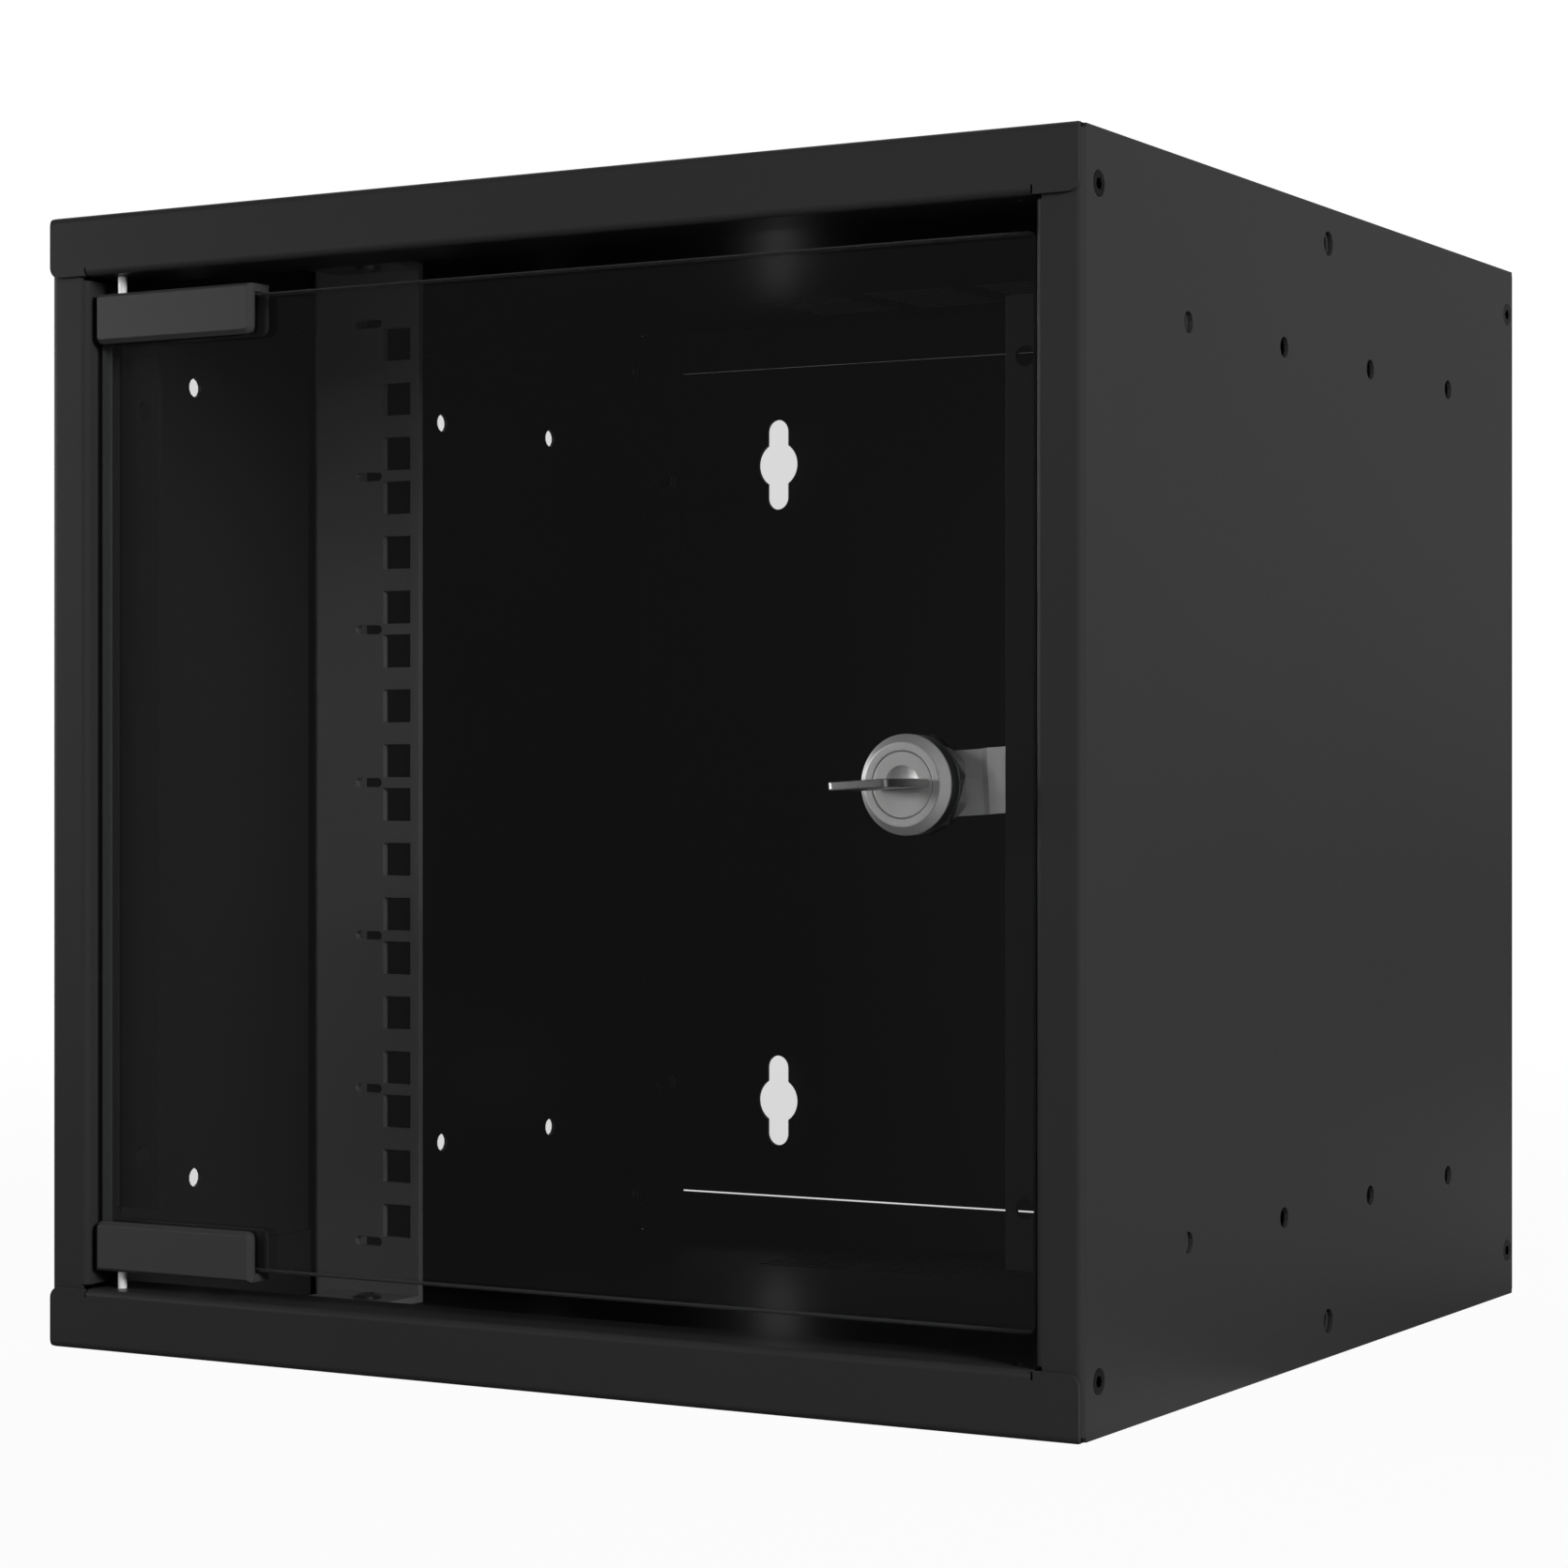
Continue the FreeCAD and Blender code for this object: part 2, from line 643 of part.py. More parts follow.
def make_tray(node, end):
    """The top or bottom of the case, with flanges on all four sides and a vent field."""
    body = new_body(node)
    sheet = D["gauge"]
    skin = D["height"] / 2
    under = skin - sheet
    front_edge = skin - D["tray_flange"]
    rear = D["depth"] - sheet

    def section(points):
        return outline([(behind(v), level(end, rise)) for v, rise in points])

    def plan(sketch_points):
        return outline([(x, behind(v)) for x, v in sketch_points])

    half = D["width"] / 2 - sheet - D["case_gap"]
    profile = [(-1 * sheet, front_edge), (0, front_edge), (0, under), (rear - sheet, under),
               (rear - sheet, skin - D["tray_rear_drop"]), (rear, skin - D["tray_rear_drop"]),
               (rear, skin), (-1 * sheet, skin)]
    pad(body, "YZ_Plane", -half, half, section(profile))
    fillet(body, 0, D["bend_outer"], [(behind(-1 * sheet), level(end, skin)),
                                      (behind(rear), level(end, skin))])
    bevel(body, 0, D["bend_inner"] * 0.3, [(behind(0), level(end, under)),
                                           (behind(rear - sheet), level(end, under))])

    slit_inner = D["width"] / 2 - D["front_flange"] - D["relief_width"]
    def slits(sketch):
        for side in (LEFT, RIGHT):
            draw_outline(sketch, rectangle(side * slit_inner, side * (slit_inner + D["relief_width"]),
                                           behind(-2 * sheet), behind(sheet)))

    cut(body, "XY_Plane",
        *span(level(end, front_edge - PAST), level(end, front_edge + D["relief_height"])), slits)
    lip = rectangle(-1 * sheet, D["lip_depth"] - sheet, front_edge, front_edge + sheet)
    pad(body, "YZ_Plane", -slit_inner, slit_inner, section(lip))
    fillet(body, 0, D["bend_outer"], [(behind(-1 * sheet), level(end, front_edge))], central=True)

    reach = D["width"] / 2 - D["tray_reach"]
    bend = D["bend_outer"]
    ear = [(0 * sheet, front_edge), (-1 * sheet, front_edge), (-1 * sheet, skin - 1.1 * bend)]
    for degrees in (150, 120):
        turn = math.radians(degrees)
        ear.append((bend - sheet + 0.98 * bend * math.cos(turn),
                    skin - bend + 0.98 * bend * math.sin(turn)))
    ear.append((0 * sheet, skin - 0.1 * bend))
    for side in (LEFT, RIGHT):
        pad(body, "YZ_Plane", *span(side * (half - sheet), side * reach), section(ear))
        flange = rectangle(side * half, side * (half - sheet), 2 * sheet, rear - 3 * sheet)
        pad(body, "XY_Plane",
            *span(level(end, skin - D["tray_side_drop"]), level(end, under + 0.5 * sheet)),
            plan(flange))
    fillet(body, 1, D["tray_corner"], [(side * reach, level(end, front_edge))
                                       for side in (LEFT, RIGHT)])

    def side_holes(sketch):
        for depth in (D["screw_front"], D["screw_rear"]):
            draw_ring(sketch, behind(depth), level(end, D["screw_rise"]), D["screw_bore"])
        draw_ring(sketch, behind(D["middle_hole"]), level(end, D["middle_rise"]), D["screw_bore"])

    cut(body, "YZ_Plane", -D["width"] / 2, D["width"] / 2, side_holes)

    def pin_holes(sketch):
        for side in (LEFT, RIGHT):
            draw_circle(sketch, across(side, D["pin_x"]), behind(D["pane_front"] + D["pane_thick"] / 2),
                        D["pin_bore"] + 2 * D["pin_play"])

    cut(body, "XY_Plane",
        *span(level(end, front_edge - PAST), level(end, front_edge + sheet + PAST)), pin_holes)

    def plate_holes(sketch):
        for side in (LEFT, RIGHT):
            draw_ring(sketch, across(side, D["tab_screw_x"]), behind(D["tab_screw_y"]),
                      D["screw_bore"])

    def vent_row(sketch):
        y = behind(D["vent_centre"] - (D["vent_rows"] - 1) * D["vent_pitch_y"] / 2)
        for column in range(VENT_COLUMNS):
            x = (column - (VENT_COLUMNS - 1) / 2) * D["vent_pitch_x"]
            draw_flat_slot(sketch, x, y, D["vent_length"], D["vent_width"])

    through = span(level(end, under - PAST), level(end, skin + PAST))
    cut(body, "XY_Plane", *through, plate_holes)
    first_row = cut(body, "XY_Plane", *through, vent_row)
    rows = int(D["vent_rows"].number)
    repeat(body, first_row, "Y_Axis", rows, (D["vent_rows"] - 1) * D["vent_pitch_y"])
    return body


def draw_keyhole(sketch, x, z):
    """A round opening with a slot above and below it, drawn as one outline of arcs and lines."""
    bore = D["keyhole_bore"] / 2
    slot = D["keyhole_slot"] / 2
    run = D["keyhole_length"] / 2 - slot
    shoulder = math.sqrt(bore.number ** 2 - slot.number ** 2)
    turn = math.atan2(shoulder, slot.number)
    centre = Vector(as_size(x).number, as_size(z).number, 0)
    circle = Part.Circle(centre, Vector(0, 0, 1), bore.number)
    held = []
    flank = {}
    for side, first in ((RIGHT, -turn), (LEFT, math.pi - turn)):
        flank[side] = sketch.addGeometry(Part.ArcOfCircle(circle, first, first + 2 * turn), False)
        held += fixed_point(flank[side], 3, x, z) + fixed_radius(flank[side], bore)
    for end in (BOTTOM, TOP):
        middle = centre + Vector(0, end * run.number, 0)
        cap = sketch.addGeometry(half_circle(middle, slot.number, 0 if end == TOP else 180), False)
        held += fixed_point(cap, 3, x, z + end * run) + fixed_radius(cap, slot)
        for side in (LEFT, RIGHT):
            offset = Vector(side * slot.number, 0, 0)
            foot = centre + offset + Vector(0, end * shoulder, 0)
            line = sketch.addGeometry(Part.LineSegment(middle + offset, foot), False)
            held += joined("Coincident", cap, 1 if side == end else 2, line, 1)
            held += joined("Coincident", line, 2, flank[side], 2 if side == end else 1)
            held += joined("Vertical", line)
    hold(sketch, held)


def make_back_panel(node):
    """A flat plate with four keyholes, screwed to the side panels' rear flanges."""
    body = new_body(node)
    sheet = D["gauge"]
    half = D["width"] / 2 - D["back_inset"]
    plate = rectangle(-half, half, level(BOTTOM, D["back_foot"]), level(TOP, D["back_head"]))
    front = D["depth"] - 2 * sheet
    pad(body, "XZ_Plane", behind(front), behind(front + sheet), outline(plate))

    def holes(sketch):
        for end in (BOTTOM, TOP):
            for side in (LEFT, RIGHT):
                draw_keyhole(sketch, side * D["keyhole_x"], level(end, D["keyhole_rise"]))

    cut(body, "XZ_Plane", behind(front - PAST), behind(front + sheet + PAST), holes)
    sunk_holes(body, "XZ_Plane", behind(front + sheet), -1, [
        (across(side, D["rear_hole"]), level(end, D["rear_hole_rise"]))
        for end in (BOTTOM, TOP) for side in (LEFT, RIGHT)])
    return body


def make_rail(node, side):
    """A punched angle: three square holes to a unit, a slot between units, a tab at each end."""
    body = new_body(node)
    wall = D["rail_gauge"]
    face = D["rail_front"]
    angle = [(D["rail_edge"], face), (D["rail_inner"], face), (D["rail_inner"], face + wall),
             (D["rail_edge"] + wall, face + wall), (D["rail_edge"] + wall, face + D["rail_side"]),
             (D["rail_edge"], face + D["rail_side"])]

    def plan(points):
        return outline([(across(side, u), behind(v)) for u, v in points])

    pad(body, "XY_Plane", level(BOTTOM, D["rail_rise"]), level(TOP, D["rail_rise"]), plan(angle))
    fillet(body, 2, wall * 1.4, [(across(side, D["rail_edge"]), behind(face))])
    bevel(body, 2, wall * 0.4, [(across(side, D["rail_edge"] + wall), behind(face + wall))])
    tab = rectangle(D["tab_start"], D["rail_inner"], face - D["tab_reach"], face + wall * 0.5)
    for end in (BOTTOM, TOP):
        pad(body, "XY_Plane", *span(level(end, D["rail_rise"] - wall), level(end, D["rail_rise"])),
            plan(tab))

    hole_x = side * D["rail_spacing"] / 2

    def punching(sketch):
        half = D["rail_square"] / 2
        middle = MID - (RACK_UNITS - 1) / 2 * D["unit"]
        for step in (-1, 0, 1):
            z = middle + step * D["rail_hole_outer"]
            draw_outline(sketch, rectangle(hole_x - half, hole_x + half, z - half, z + half))

    def mark(sketch):
        draw_flat_slot(sketch, across(side, D["mark_centre"]), MID - RACK_UNITS / 2 * D["unit"],
                       D["mark_length"], D["mark_width"])

    def tab_holes(sketch):
        draw_ring(sketch, across(side, D["tab_screw_x"]), behind(D["tab_screw_y"]),
                  D["screw_bore"])

    def side_holes(sketch):
        for end in (BOTTOM, TOP):
            draw_ring(sketch, behind(D["row_first"] + D["row_pitch"]), level(end, D["row_rise"]),
                      D["row_bore"])

    through = (behind(face - PAST), behind(face + wall + PAST))
    first_unit = cut(body, "XZ_Plane", *through, punching)
    repeat(body, first_unit, "Z_Axis", RACK_UNITS, (RACK_UNITS - 1) * D["unit"])
    first_mark = cut(body, "XZ_Plane", *through, mark)
    repeat(body, first_mark, "Z_Axis", RACK_UNITS + 1, RACK_UNITS * D["unit"])
    cut(body, "XY_Plane", level(BOTTOM, D["rail_rise"] + PAST), level(TOP, D["rail_rise"] + PAST),
        tab_holes)
    edge = D["rail_edge"]
    cut(body, "YZ_Plane", *span(across(side, edge - PAST), across(side, edge + wall + PAST)),
        side_holes)
    return body


def make_side_screws(node, side):
    """Four countersunk screws that hold one side panel to the trays."""
    direction = "-X" if side == RIGHT else "+X"
    screws = []
    for end in (BOTTOM, TOP):
        for depth in (D["screw_front"], D["screw_rear"]):
            place = (across(side, 0.05), behind(depth), level(end, D["screw_rise"]))
            screws.append(sunk_screw(place, direction))
    return group(node, screws)


def make_tray_nuts(node, end):
    """Four press nuts on a tray's side flanges."""
    nuts = []
    for side, direction in ((LEFT, "+X"), (RIGHT, "-X")):
        for depth in (D["screw_front"], D["screw_rear"]):
            place = (across(side, 2 * D["gauge"] + D["case_gap"]), behind(depth),
                     level(end, D["screw_rise"]))
            nuts.append(ring_nut(place, direction))
    return group(node, nuts)


def make_back_fasteners():
    """Countersunk screws through the back plate, and the press nuts on the rear flanges."""
    screws = []
    nuts = []
    for side in (LEFT, RIGHT):
        for end in (BOTTOM, TOP):
            x = across(side, D["rear_hole"])
            z = level(end, D["rear_hole_rise"])
            screws.append(sunk_screw((x, D["depth"] / 2 - 0.05, z), "-Y"))
            nuts.append(ring_nut((x, behind(D["depth"] - 3 * D["gauge"]), z), "-Y"))
    return group("back_screws", screws), group("back_nuts", nuts)


def make_rail_screws(node):
    """Pan head screws that fasten the rails' tabs to the trays."""
    screws = []
    for side in (LEFT, RIGHT):
        for end, direction in ((BOTTOM, "-Z"), (TOP, "+Z")):
            place = (across(side, D["tab_screw_x"]), behind(D["tab_screw_y"]),
                     level(end, D["rail_rise"] - D["rail_gauge"]))
            half = D["pan_height"] / 2
            crown = frustum(place, direction, -2 * half, 0.75 * D["pan_radius"], D["pan_radius"], half)
            head = prism(place, direction, -1 * half, D["pan_radius"], half)
            shank = prism(place, direction, -0.5 * half, D["screw_bore"] / 2 - 0.1,
                          D["rail_gauge"] + D["gauge"] + 0.3 * half)
            screws.append(fuse(crown, head, shank))
    return group(node, screws)


# ---------------------------------------------------------------- the door

def make_pane(node):
    """The glass pane, with ground edges and a hole for the lock."""
    body = new_body(node)
    right = D["width"] - D["pane_left"]
    points = rectangle(D["pane_left"] - D["width"] / 2, right - D["width"] / 2,
                       level(BOTTOM, D["pane_rise"]), level(TOP, D["pane_rise"]))
    front = D["pane_front"]
    pad(body, "XZ_Plane", behind(front), behind(front + D["pane_thick"]), outline(points))
    fillet(body, 1, D["pane_corner"], points)

    def lock_hole(sketch):
        draw_circle(sketch, D["lock_x"] - D["width"] / 2, MID - D["lock_drop"],
                    2 * D["barrel_radius"] + 0.5)

    cut(body, "XZ_Plane", behind(front - PAST), behind(front + D["pane_thick"] + PAST), lock_hole)
    for face in (front, front + D["pane_thick"]):
        soften(body, "Chamfer", "Size", D["pane_seam"], outer_loop(body, behind(face)))
    return body


def outer_loop(body, y):
    """Names of the pane's outer edges on its face at one Y, without the lock's hole."""
    names = []
    for number, edge in enumerate(body.Shape.Edges, start=1):
        box = edge.BoundBox
        flat = abs(box.YMin - y.number) < 0.01 and abs(box.YMax - y.number) < 0.01
        if flat and len(edge.Vertexes) == 2:
            names.append(f"Edge{number}")
    return names


def make_clip(node, end):
    """A folded pivot clip that grips the pane's edge."""
    body = new_body(node)
    wall = D["clip_wall"]
    front = D["pane_front"] - D["liner_wall"] - wall
    back = D["pane_front"] + D["pane_thick"] + D["liner_wall"] + wall
    top = D["pane_rise"] + D["liner_wall"] + wall
    low = top - D["clip_height"]
    profile = [(front, low), (front + wall, low), (front + wall, top - wall),
               (back - wall, top - wall), (back - wall, low), (back, low), (back, top), (front, top)]
    x_start = D["clip_left"] - D["width"] / 2
    x_end = x_start + D["clip_length"]
    pad(body, "YZ_Plane", x_start, x_end,
        outline([(behind(v), level(end, rise)) for v, rise in profile]))
    fillet(body, 1, D["clip_corner"], [(x_start, level(end, low)), (x_end, level(end, low))])
    bevel(body, 2, D["clip_bevel"], [(x_start, behind(front)), (x_start, behind(back))])
    bevel(body, 0, D["clip_bevel"] * 0.6, [(behind(front), level(end, top)),
                                           (behind(back), level(end, top))])

    def pin_hole(sketch):
        draw_circle(sketch, across(LEFT, D["pin_x"]), behind(D["pane_front"] + D["pane_thick"] / 2),
                    D["pin_bore"])

    cut(body, "XY_Plane", *span(level(end, top - wall - PAST), level(end, top + PAST)), pin_hole)

    def grub_holes(sketch):
        for share in GRUB_SHARES:
            draw_ring(sketch, x_start + share * D["clip_length"], level(end, low + D["grub_rise"]),
                      D["grub_bore"])

    cut(body, "XZ_Plane", behind(back - 1.1 * wall), behind(back + PAST), grub_holes)
    return body


def make_liner(node, end):
    """A soft channel between clip and glass."""
    body = new_body(node)
    wall = D["liner_wall"]
    front = D["pane_front"] - wall
    back = D["pane_front"] + D["pane_thick"] + wall
    top = D["pane_rise"] + wall
    low = top - D["clip_height"] + D["clip_wall"] + 0.4
    profile = [(front, low), (front + wall, low), (front + wall, top - wall),
               (back - wall, top - wall), (back - wall, low), (back, low), (back, top), (front, top)]
    x_start = D["pane_left"] + 0.6 - D["width"] / 2
    pad(body, "YZ_Plane", x_start, x_start + D["clip_length"] - 1.6,
        outline([(behind(v), level(end, rise)) for v, rise in profile]))
    return body


def make_grub_screws(node, end):
    """Two socket set screws that press the clip's back wall on the glass."""
    screws = []
    back = D["pane_front"] + D["pane_thick"] + D["liner_wall"]
    low = D["pane_rise"] + D["liner_wall"] + D["clip_wall"] - D["clip_height"]
    for share in GRUB_SHARES:
        place = (D["clip_left"] - D["width"] / 2 + share * D["clip_length"], behind(back),
                 level(end, low + D["grub_rise"]))
        screws.append(prism(place, "+Y", 0, D["grub_bore"] / 2 - 0.1, D["clip_wall"] + 0.4))
    return group(node, screws)


def make_hinge_pin(node, end, direction):
    """A round pivot pin with a chamfered end."""
    foot = D["pane_rise"] + D["liner_wall"]
    length = D["pin_top"] - foot
    place = (across(LEFT, D["pin_x"]), behind(D["pane_front"] + D["pane_thick"] / 2),
             level(end, foot))
    pin = cylinder(place, direction, 0, D["pin_bore"] / 2, length)
    pin.Label = node
    return pin


# ---------------------------------------------------------------- the lock
# Lock pieces are drawn round the Y axis, from the glass's front face backwards, and then moved.

def seat_on_lock(item):
    """Move a piece from the Y axis to the lock's axis and turn it by the lock's tilt."""
    item.Placement = FreeCAD.Placement(Vector(), Rotation(Vector(0, -1, 0), D["lock_tilt"].number))
    bind(item, "Placement.Base.x", D["lock_x"] - D["width"] / 2)
    bind(item, "Placement.Base.y", behind(D["pane_front"]))
    bind(item, "Placement.Base.z", MID - D["lock_drop"])
    return item


def revolve(body, points):
    """Turn an outline of (radius, y) points round the body's Y axis."""
    sketch = new_sketch(body, "XY_Plane", 0)
    draw_outline(sketch, points)
    feature = body.newObject("PartDesign::Revolution", "Revolution")
    feature.Profile = sketch
    axis = [item for item in body.Origin.OriginFeatures if item.Role == "Y_Axis"][0]
    feature.ReferenceAxis = (axis, [""])
    feature.Angle = 360
    body.Tip = feature
    DOC.recompute()
    return feature


def make_lock_housing(node):
    """Bevelled head and a barrel with two flats, bored for the plug."""
    body = new_body(node)
    head = D["head_depth"]
    seat = D["plug_radius"] + D["plug_play"]
    bore = D["core_radius"] + D["plug_play"]
    ledge = D["plug_seat"] + D["plug_play"]
    rim = D["head_radius"]
    revolve(body, [(seat, -head), (D["face_radius"], -head), (rim, head * -0.24),
                   (rim, 0), (D["barrel_radius"], 0),
                   (D["barrel_radius"], D["barrel_length"]), (bore, D["barrel_length"]),
                   (bore, ledge), (seat, ledge)])

    def flats(sketch):
        for side in (LEFT, RIGHT):
            draw_outline(sketch, rectangle(side * D["barrel_flat"], side * rim, -rim, rim))

    cut(body, "XZ_Plane", 0, D["barrel_length"] + PAST, flats)
    return seat_on_lock(body)


def make_lock_washer(node):
    """A flat ring between pane and nut."""
    place = (0, D["pane_thick"], 0)
    play = 0.05
    bore = (D["barrel_radius"] + play) / math.cos(math.pi / WASHER_SIDES)
    outside = prism(place, "+Y", 0, D["head_radius"], D["washer_thick"], WASHER_SIDES)
    hole = prism(place, "+Y", -1, bore, D["washer_thick"] + 2, WASHER_SIDES)
    ring = take_away(outside, hole)
    ring.Label = node
    return seat_on_lock(ring)


def make_lock_nut(node):
    """A thin hexagon nut with chamfered corners."""
    place = (0, D["pane_thick"] + D["washer_thick"], 0)
    blank = prism(place, "+Y", 0, D["nut_flats"] / math.sqrt(3), D["nut_thick"], 6)
    hole = cylinder(place, "+Y", -1, D["barrel_radius"] + 0.02, D["nut_thick"] + 2)
    nut = take_away(blank, hole)
    nut.Label = node
    return seat_on_lock(nut)


def square(sketch):
    """The square of the plug's spindle and of the hole in the cam."""
    half = D["spindle"] / 2
    draw_outline(sketch, rectangle(-half, half, -half, half))


def make_lock_plug(node):
    """The turning plug: dished front disc, key slot, round core and a square spindle."""
    body = new_body(node)
    disc = D["head_depth"] - D["plug_play"]
    core = D["core_radius"]
    seat = D["plug_seat"]
    end = D["barrel_length"] + D["cam_play"]
    revolve(body, [(0, -disc), (D["plug_radius"], -disc), (D["plug_radius"], seat), (core, seat),
                   (core, end), (0, end)])

    def slot(sketch):
        width = D["blade_width"] / 2 + D["plug_play"]
        thick = D["key_thick"] / 2 + D["plug_play"]
        draw_outline(sketch, rectangle(-width, width, -thick, thick))

    pad(body, "XZ_Plane", end - PAST, end + D["cam_thick"], square)
    cut(body, "XZ_Plane", -disc - PAST, D["blade_reach"] + D["plug_play"], slot)
    return seat_on_lock(body)


def make_cam(node):
    """The cam: a joggled plate, square-holed on the plug's spindle."""
    body = new_body(node)
    thick = D["cam_thick"]
    rear = D["barrel_length"] + D["cam_play"]
    front = rear - D["cam_offset"]
    heel = D["cam_width"] / 2
    near = D["joggle_start"]
    far = near + D["joggle_run"]
    lead = thick * 0.44
    side_view = [(-heel, rear), (near, rear), (far, front), (D["cam_reach"], front),
                 (D["cam_reach"], front + thick), (far + lead, front + thick),
                 (near + lead, rear + thick), (-heel, rear + thick)]
    pad(body, "XY_Plane", -heel, heel, outline(side_view))
    fillet(body, 1, heel * 0.99, [(-heel, -heel), (-heel, heel)])
    fillet(body, 1, heel * 0.25, [(D["cam_reach"], -heel), (D["cam_reach"], heel)])
    cut(body, "XZ_Plane", rear - PAST, rear + thick + PAST, square)
    return seat_on_lock(body)


def make_cam_screw():
    """The washer and the hexagon screw behind the cam."""
    place = (0, D["barrel_length"] + D["cam_play"] + D["cam_thick"], 0)
    washer = prism(place, "+Y", 0, D["cam_washer_radius"], D["cam_washer_thick"], WASHER_SIDES)
    screw = prism(place, "+Y", D["cam_washer_thick"], D["cam_screw_radius"], D["cam_screw_height"], 6)
    return seat_on_lock(group("cam_washer", [washer])), seat_on_lock(group("cam_screw", [screw]))


def make_key(node):
    """A flat key: rectangular bow with a ring hole, shouldered blade."""
    body = new_body(node)
    half = D["key_width"] / 2
    blade = D["blade_width"] / 2
    shoulder = -1 * D["head_depth"] - D["key_clear"]
    tip = shoulder - D["key_length"]
    inner = D["blade_reach"]
    slope = D["blade_point"]
    points = [(-blade, shoulder), (-half, shoulder), (-half, tip), (half, tip), (half, shoulder),
              (blade, shoulder), (blade, inner - slope), (blade - slope, inner), (-blade, inner)]
    pad(body, "XY_Plane", D["key_thick"] * -0.5, D["key_thick"] * 0.5, outline(points))
    fillet(body, 2, D["key_corner"], [(-half, tip), (half, tip)])

    def ring_hole(sketch):
        draw_circle(sketch, 0, tip + D["key_ring_edge"], D["key_ring"])

    cut(body, "XY_Plane", -D["key_thick"], D["key_thick"], ring_hole)
    return seat_on_lock(body)


# ---------------------------------------------------------------- build and export

def make_all():
    """Make every node of the cabinet."""
    nodes = [
        make_side_panel("side_panel_left", LEFT),
        make_side_panel("side_panel_right", RIGHT),
        make_tray("bottom_panel", BOTTOM),
        make_tray("top_panel", TOP),
        make_back_panel("back_panel"),
        make_rail("rail_left", LEFT),
        make_rail("rail_right", RIGHT),
        make_rail_screws("rail_screws"),
        make_side_screws("side_screws_left", LEFT),
        make_side_screws("side_screws_right", RIGHT),
        make_tray_nuts("tray_nuts_bottom", BOTTOM),
        make_tray_nuts("tray_nuts_top", TOP),
        make_pane("glass_pane"),
        make_clip("pivot_clip_bottom", BOTTOM),
        make_clip("pivot_clip_top", TOP),
        make_liner("clip_liner_bottom", BOTTOM),
        make_liner("clip_liner_top", TOP),
        make_grub_screws("clip_screws_bottom", BOTTOM),
        make_grub_screws("clip_screws_top", TOP),
        make_hinge_pin("hinge_pin_bottom", BOTTOM, "-Z"),
        make_hinge_pin("hinge_pin_top", TOP, "+Z"),
        make_lock_housing("lock_housing"),
        make_lock_washer("lock_washer"),
        make_lock_nut("lock_nut"),
        make_lock_plug("lock_plug"),
        make_cam("lock_cam"),
        make_key("lock_key"),
    ]
    nodes.extend(make_back_fasteners())
    nodes.extend(make_cam_screw())
    return nodes


def check_and_export(nodes):
    """Stop on any failed object, then write each node's solid."""
    DOC.recompute()
    for item in DOC.Objects:
        if {"Invalid", "Error"} & set(item.State):
            raise RuntimeError(f"{item.Name} ({item.Label}) failed: {item.State}")
    for node in nodes:
        shape = node.Shape
        if shape.isNull() or not shape.isValid() or not shape.Solids:
            raise RuntimeError(f"{node.Label} has no sound solid")
    os.makedirs("parts", exist_ok=True)
    for node in nodes:
        node.Shape.exportStep(f"parts/{node.Label}.step")
        print(node.Label, len(node.Shape.Solids), round(node.Shape.Volume, 1))


check_and_export(make_all())
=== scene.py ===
"""Looks of the ten-inch wall mount network cabinet: finishes, threads, floor, light and camera."""

import math

import bmesh
import bpy
from bpy.props import FloatProperty, FloatVectorProperty, IntProperty, PointerProperty
from mathutils import Matrix, Vector


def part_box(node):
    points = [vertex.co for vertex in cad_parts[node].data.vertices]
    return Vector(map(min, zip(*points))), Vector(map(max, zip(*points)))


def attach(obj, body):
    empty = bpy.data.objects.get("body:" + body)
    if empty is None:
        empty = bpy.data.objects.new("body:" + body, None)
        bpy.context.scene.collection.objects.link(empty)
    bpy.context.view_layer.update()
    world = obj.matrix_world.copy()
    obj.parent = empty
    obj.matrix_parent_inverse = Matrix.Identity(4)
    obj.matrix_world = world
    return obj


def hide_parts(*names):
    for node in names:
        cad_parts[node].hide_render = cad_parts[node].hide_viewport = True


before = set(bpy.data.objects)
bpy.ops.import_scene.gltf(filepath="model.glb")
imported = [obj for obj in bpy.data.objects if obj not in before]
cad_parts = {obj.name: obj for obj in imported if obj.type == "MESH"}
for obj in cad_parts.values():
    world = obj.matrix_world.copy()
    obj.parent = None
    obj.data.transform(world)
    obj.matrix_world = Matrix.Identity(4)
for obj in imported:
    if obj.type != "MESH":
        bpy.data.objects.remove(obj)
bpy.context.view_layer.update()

bl_info = {
    "name": "Network Cabinet",
    "version": (1, 0, 0),
    "blender": (4, 5, 0),
    "location": "View3D > Sidebar > Cabinet",
    "description": "Finishes a folded steel network cabinet with a glass door and a cam lock",
    "category": "Object",
}

MM = 0.001

# The lock's axis and the pane's front face; lock pieces are drawn round +Z, forwards
LOCK_MIDDLE = (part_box("lock_washer")[0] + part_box("lock_washer")[1]) / 2
LOCK_X = LOCK_MIDDLE[0]
LOCK_Z = LOCK_MIDDLE[2]
PANE_FRONT_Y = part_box("glass_pane")[0][1]
LOCK_TILT = math.radians(-3.3)
# The lock's barrel: its radius, and its axis to either flat
BARREL_RADIUS = 9.22 * MM
BARREL_FLAT = 8.0 * MM

# Threads of the larger screws, and of the press nuts and set screws
THREAD_DEPTH = 0.22 * MM
THREAD_PITCH = 0.7 * MM
FINE_DEPTH = 0.2 * MM
FINE_PITCH = 0.6 * MM

# Points of a mesh, and of a plate cut from an outline, that are nearer than this are merged
SAME_POINT = 1e-7
SAME_OUTLINE_POINT = 1e-6
# A turned point within this of the axis lies on it
ON_AXIS = 1e-9
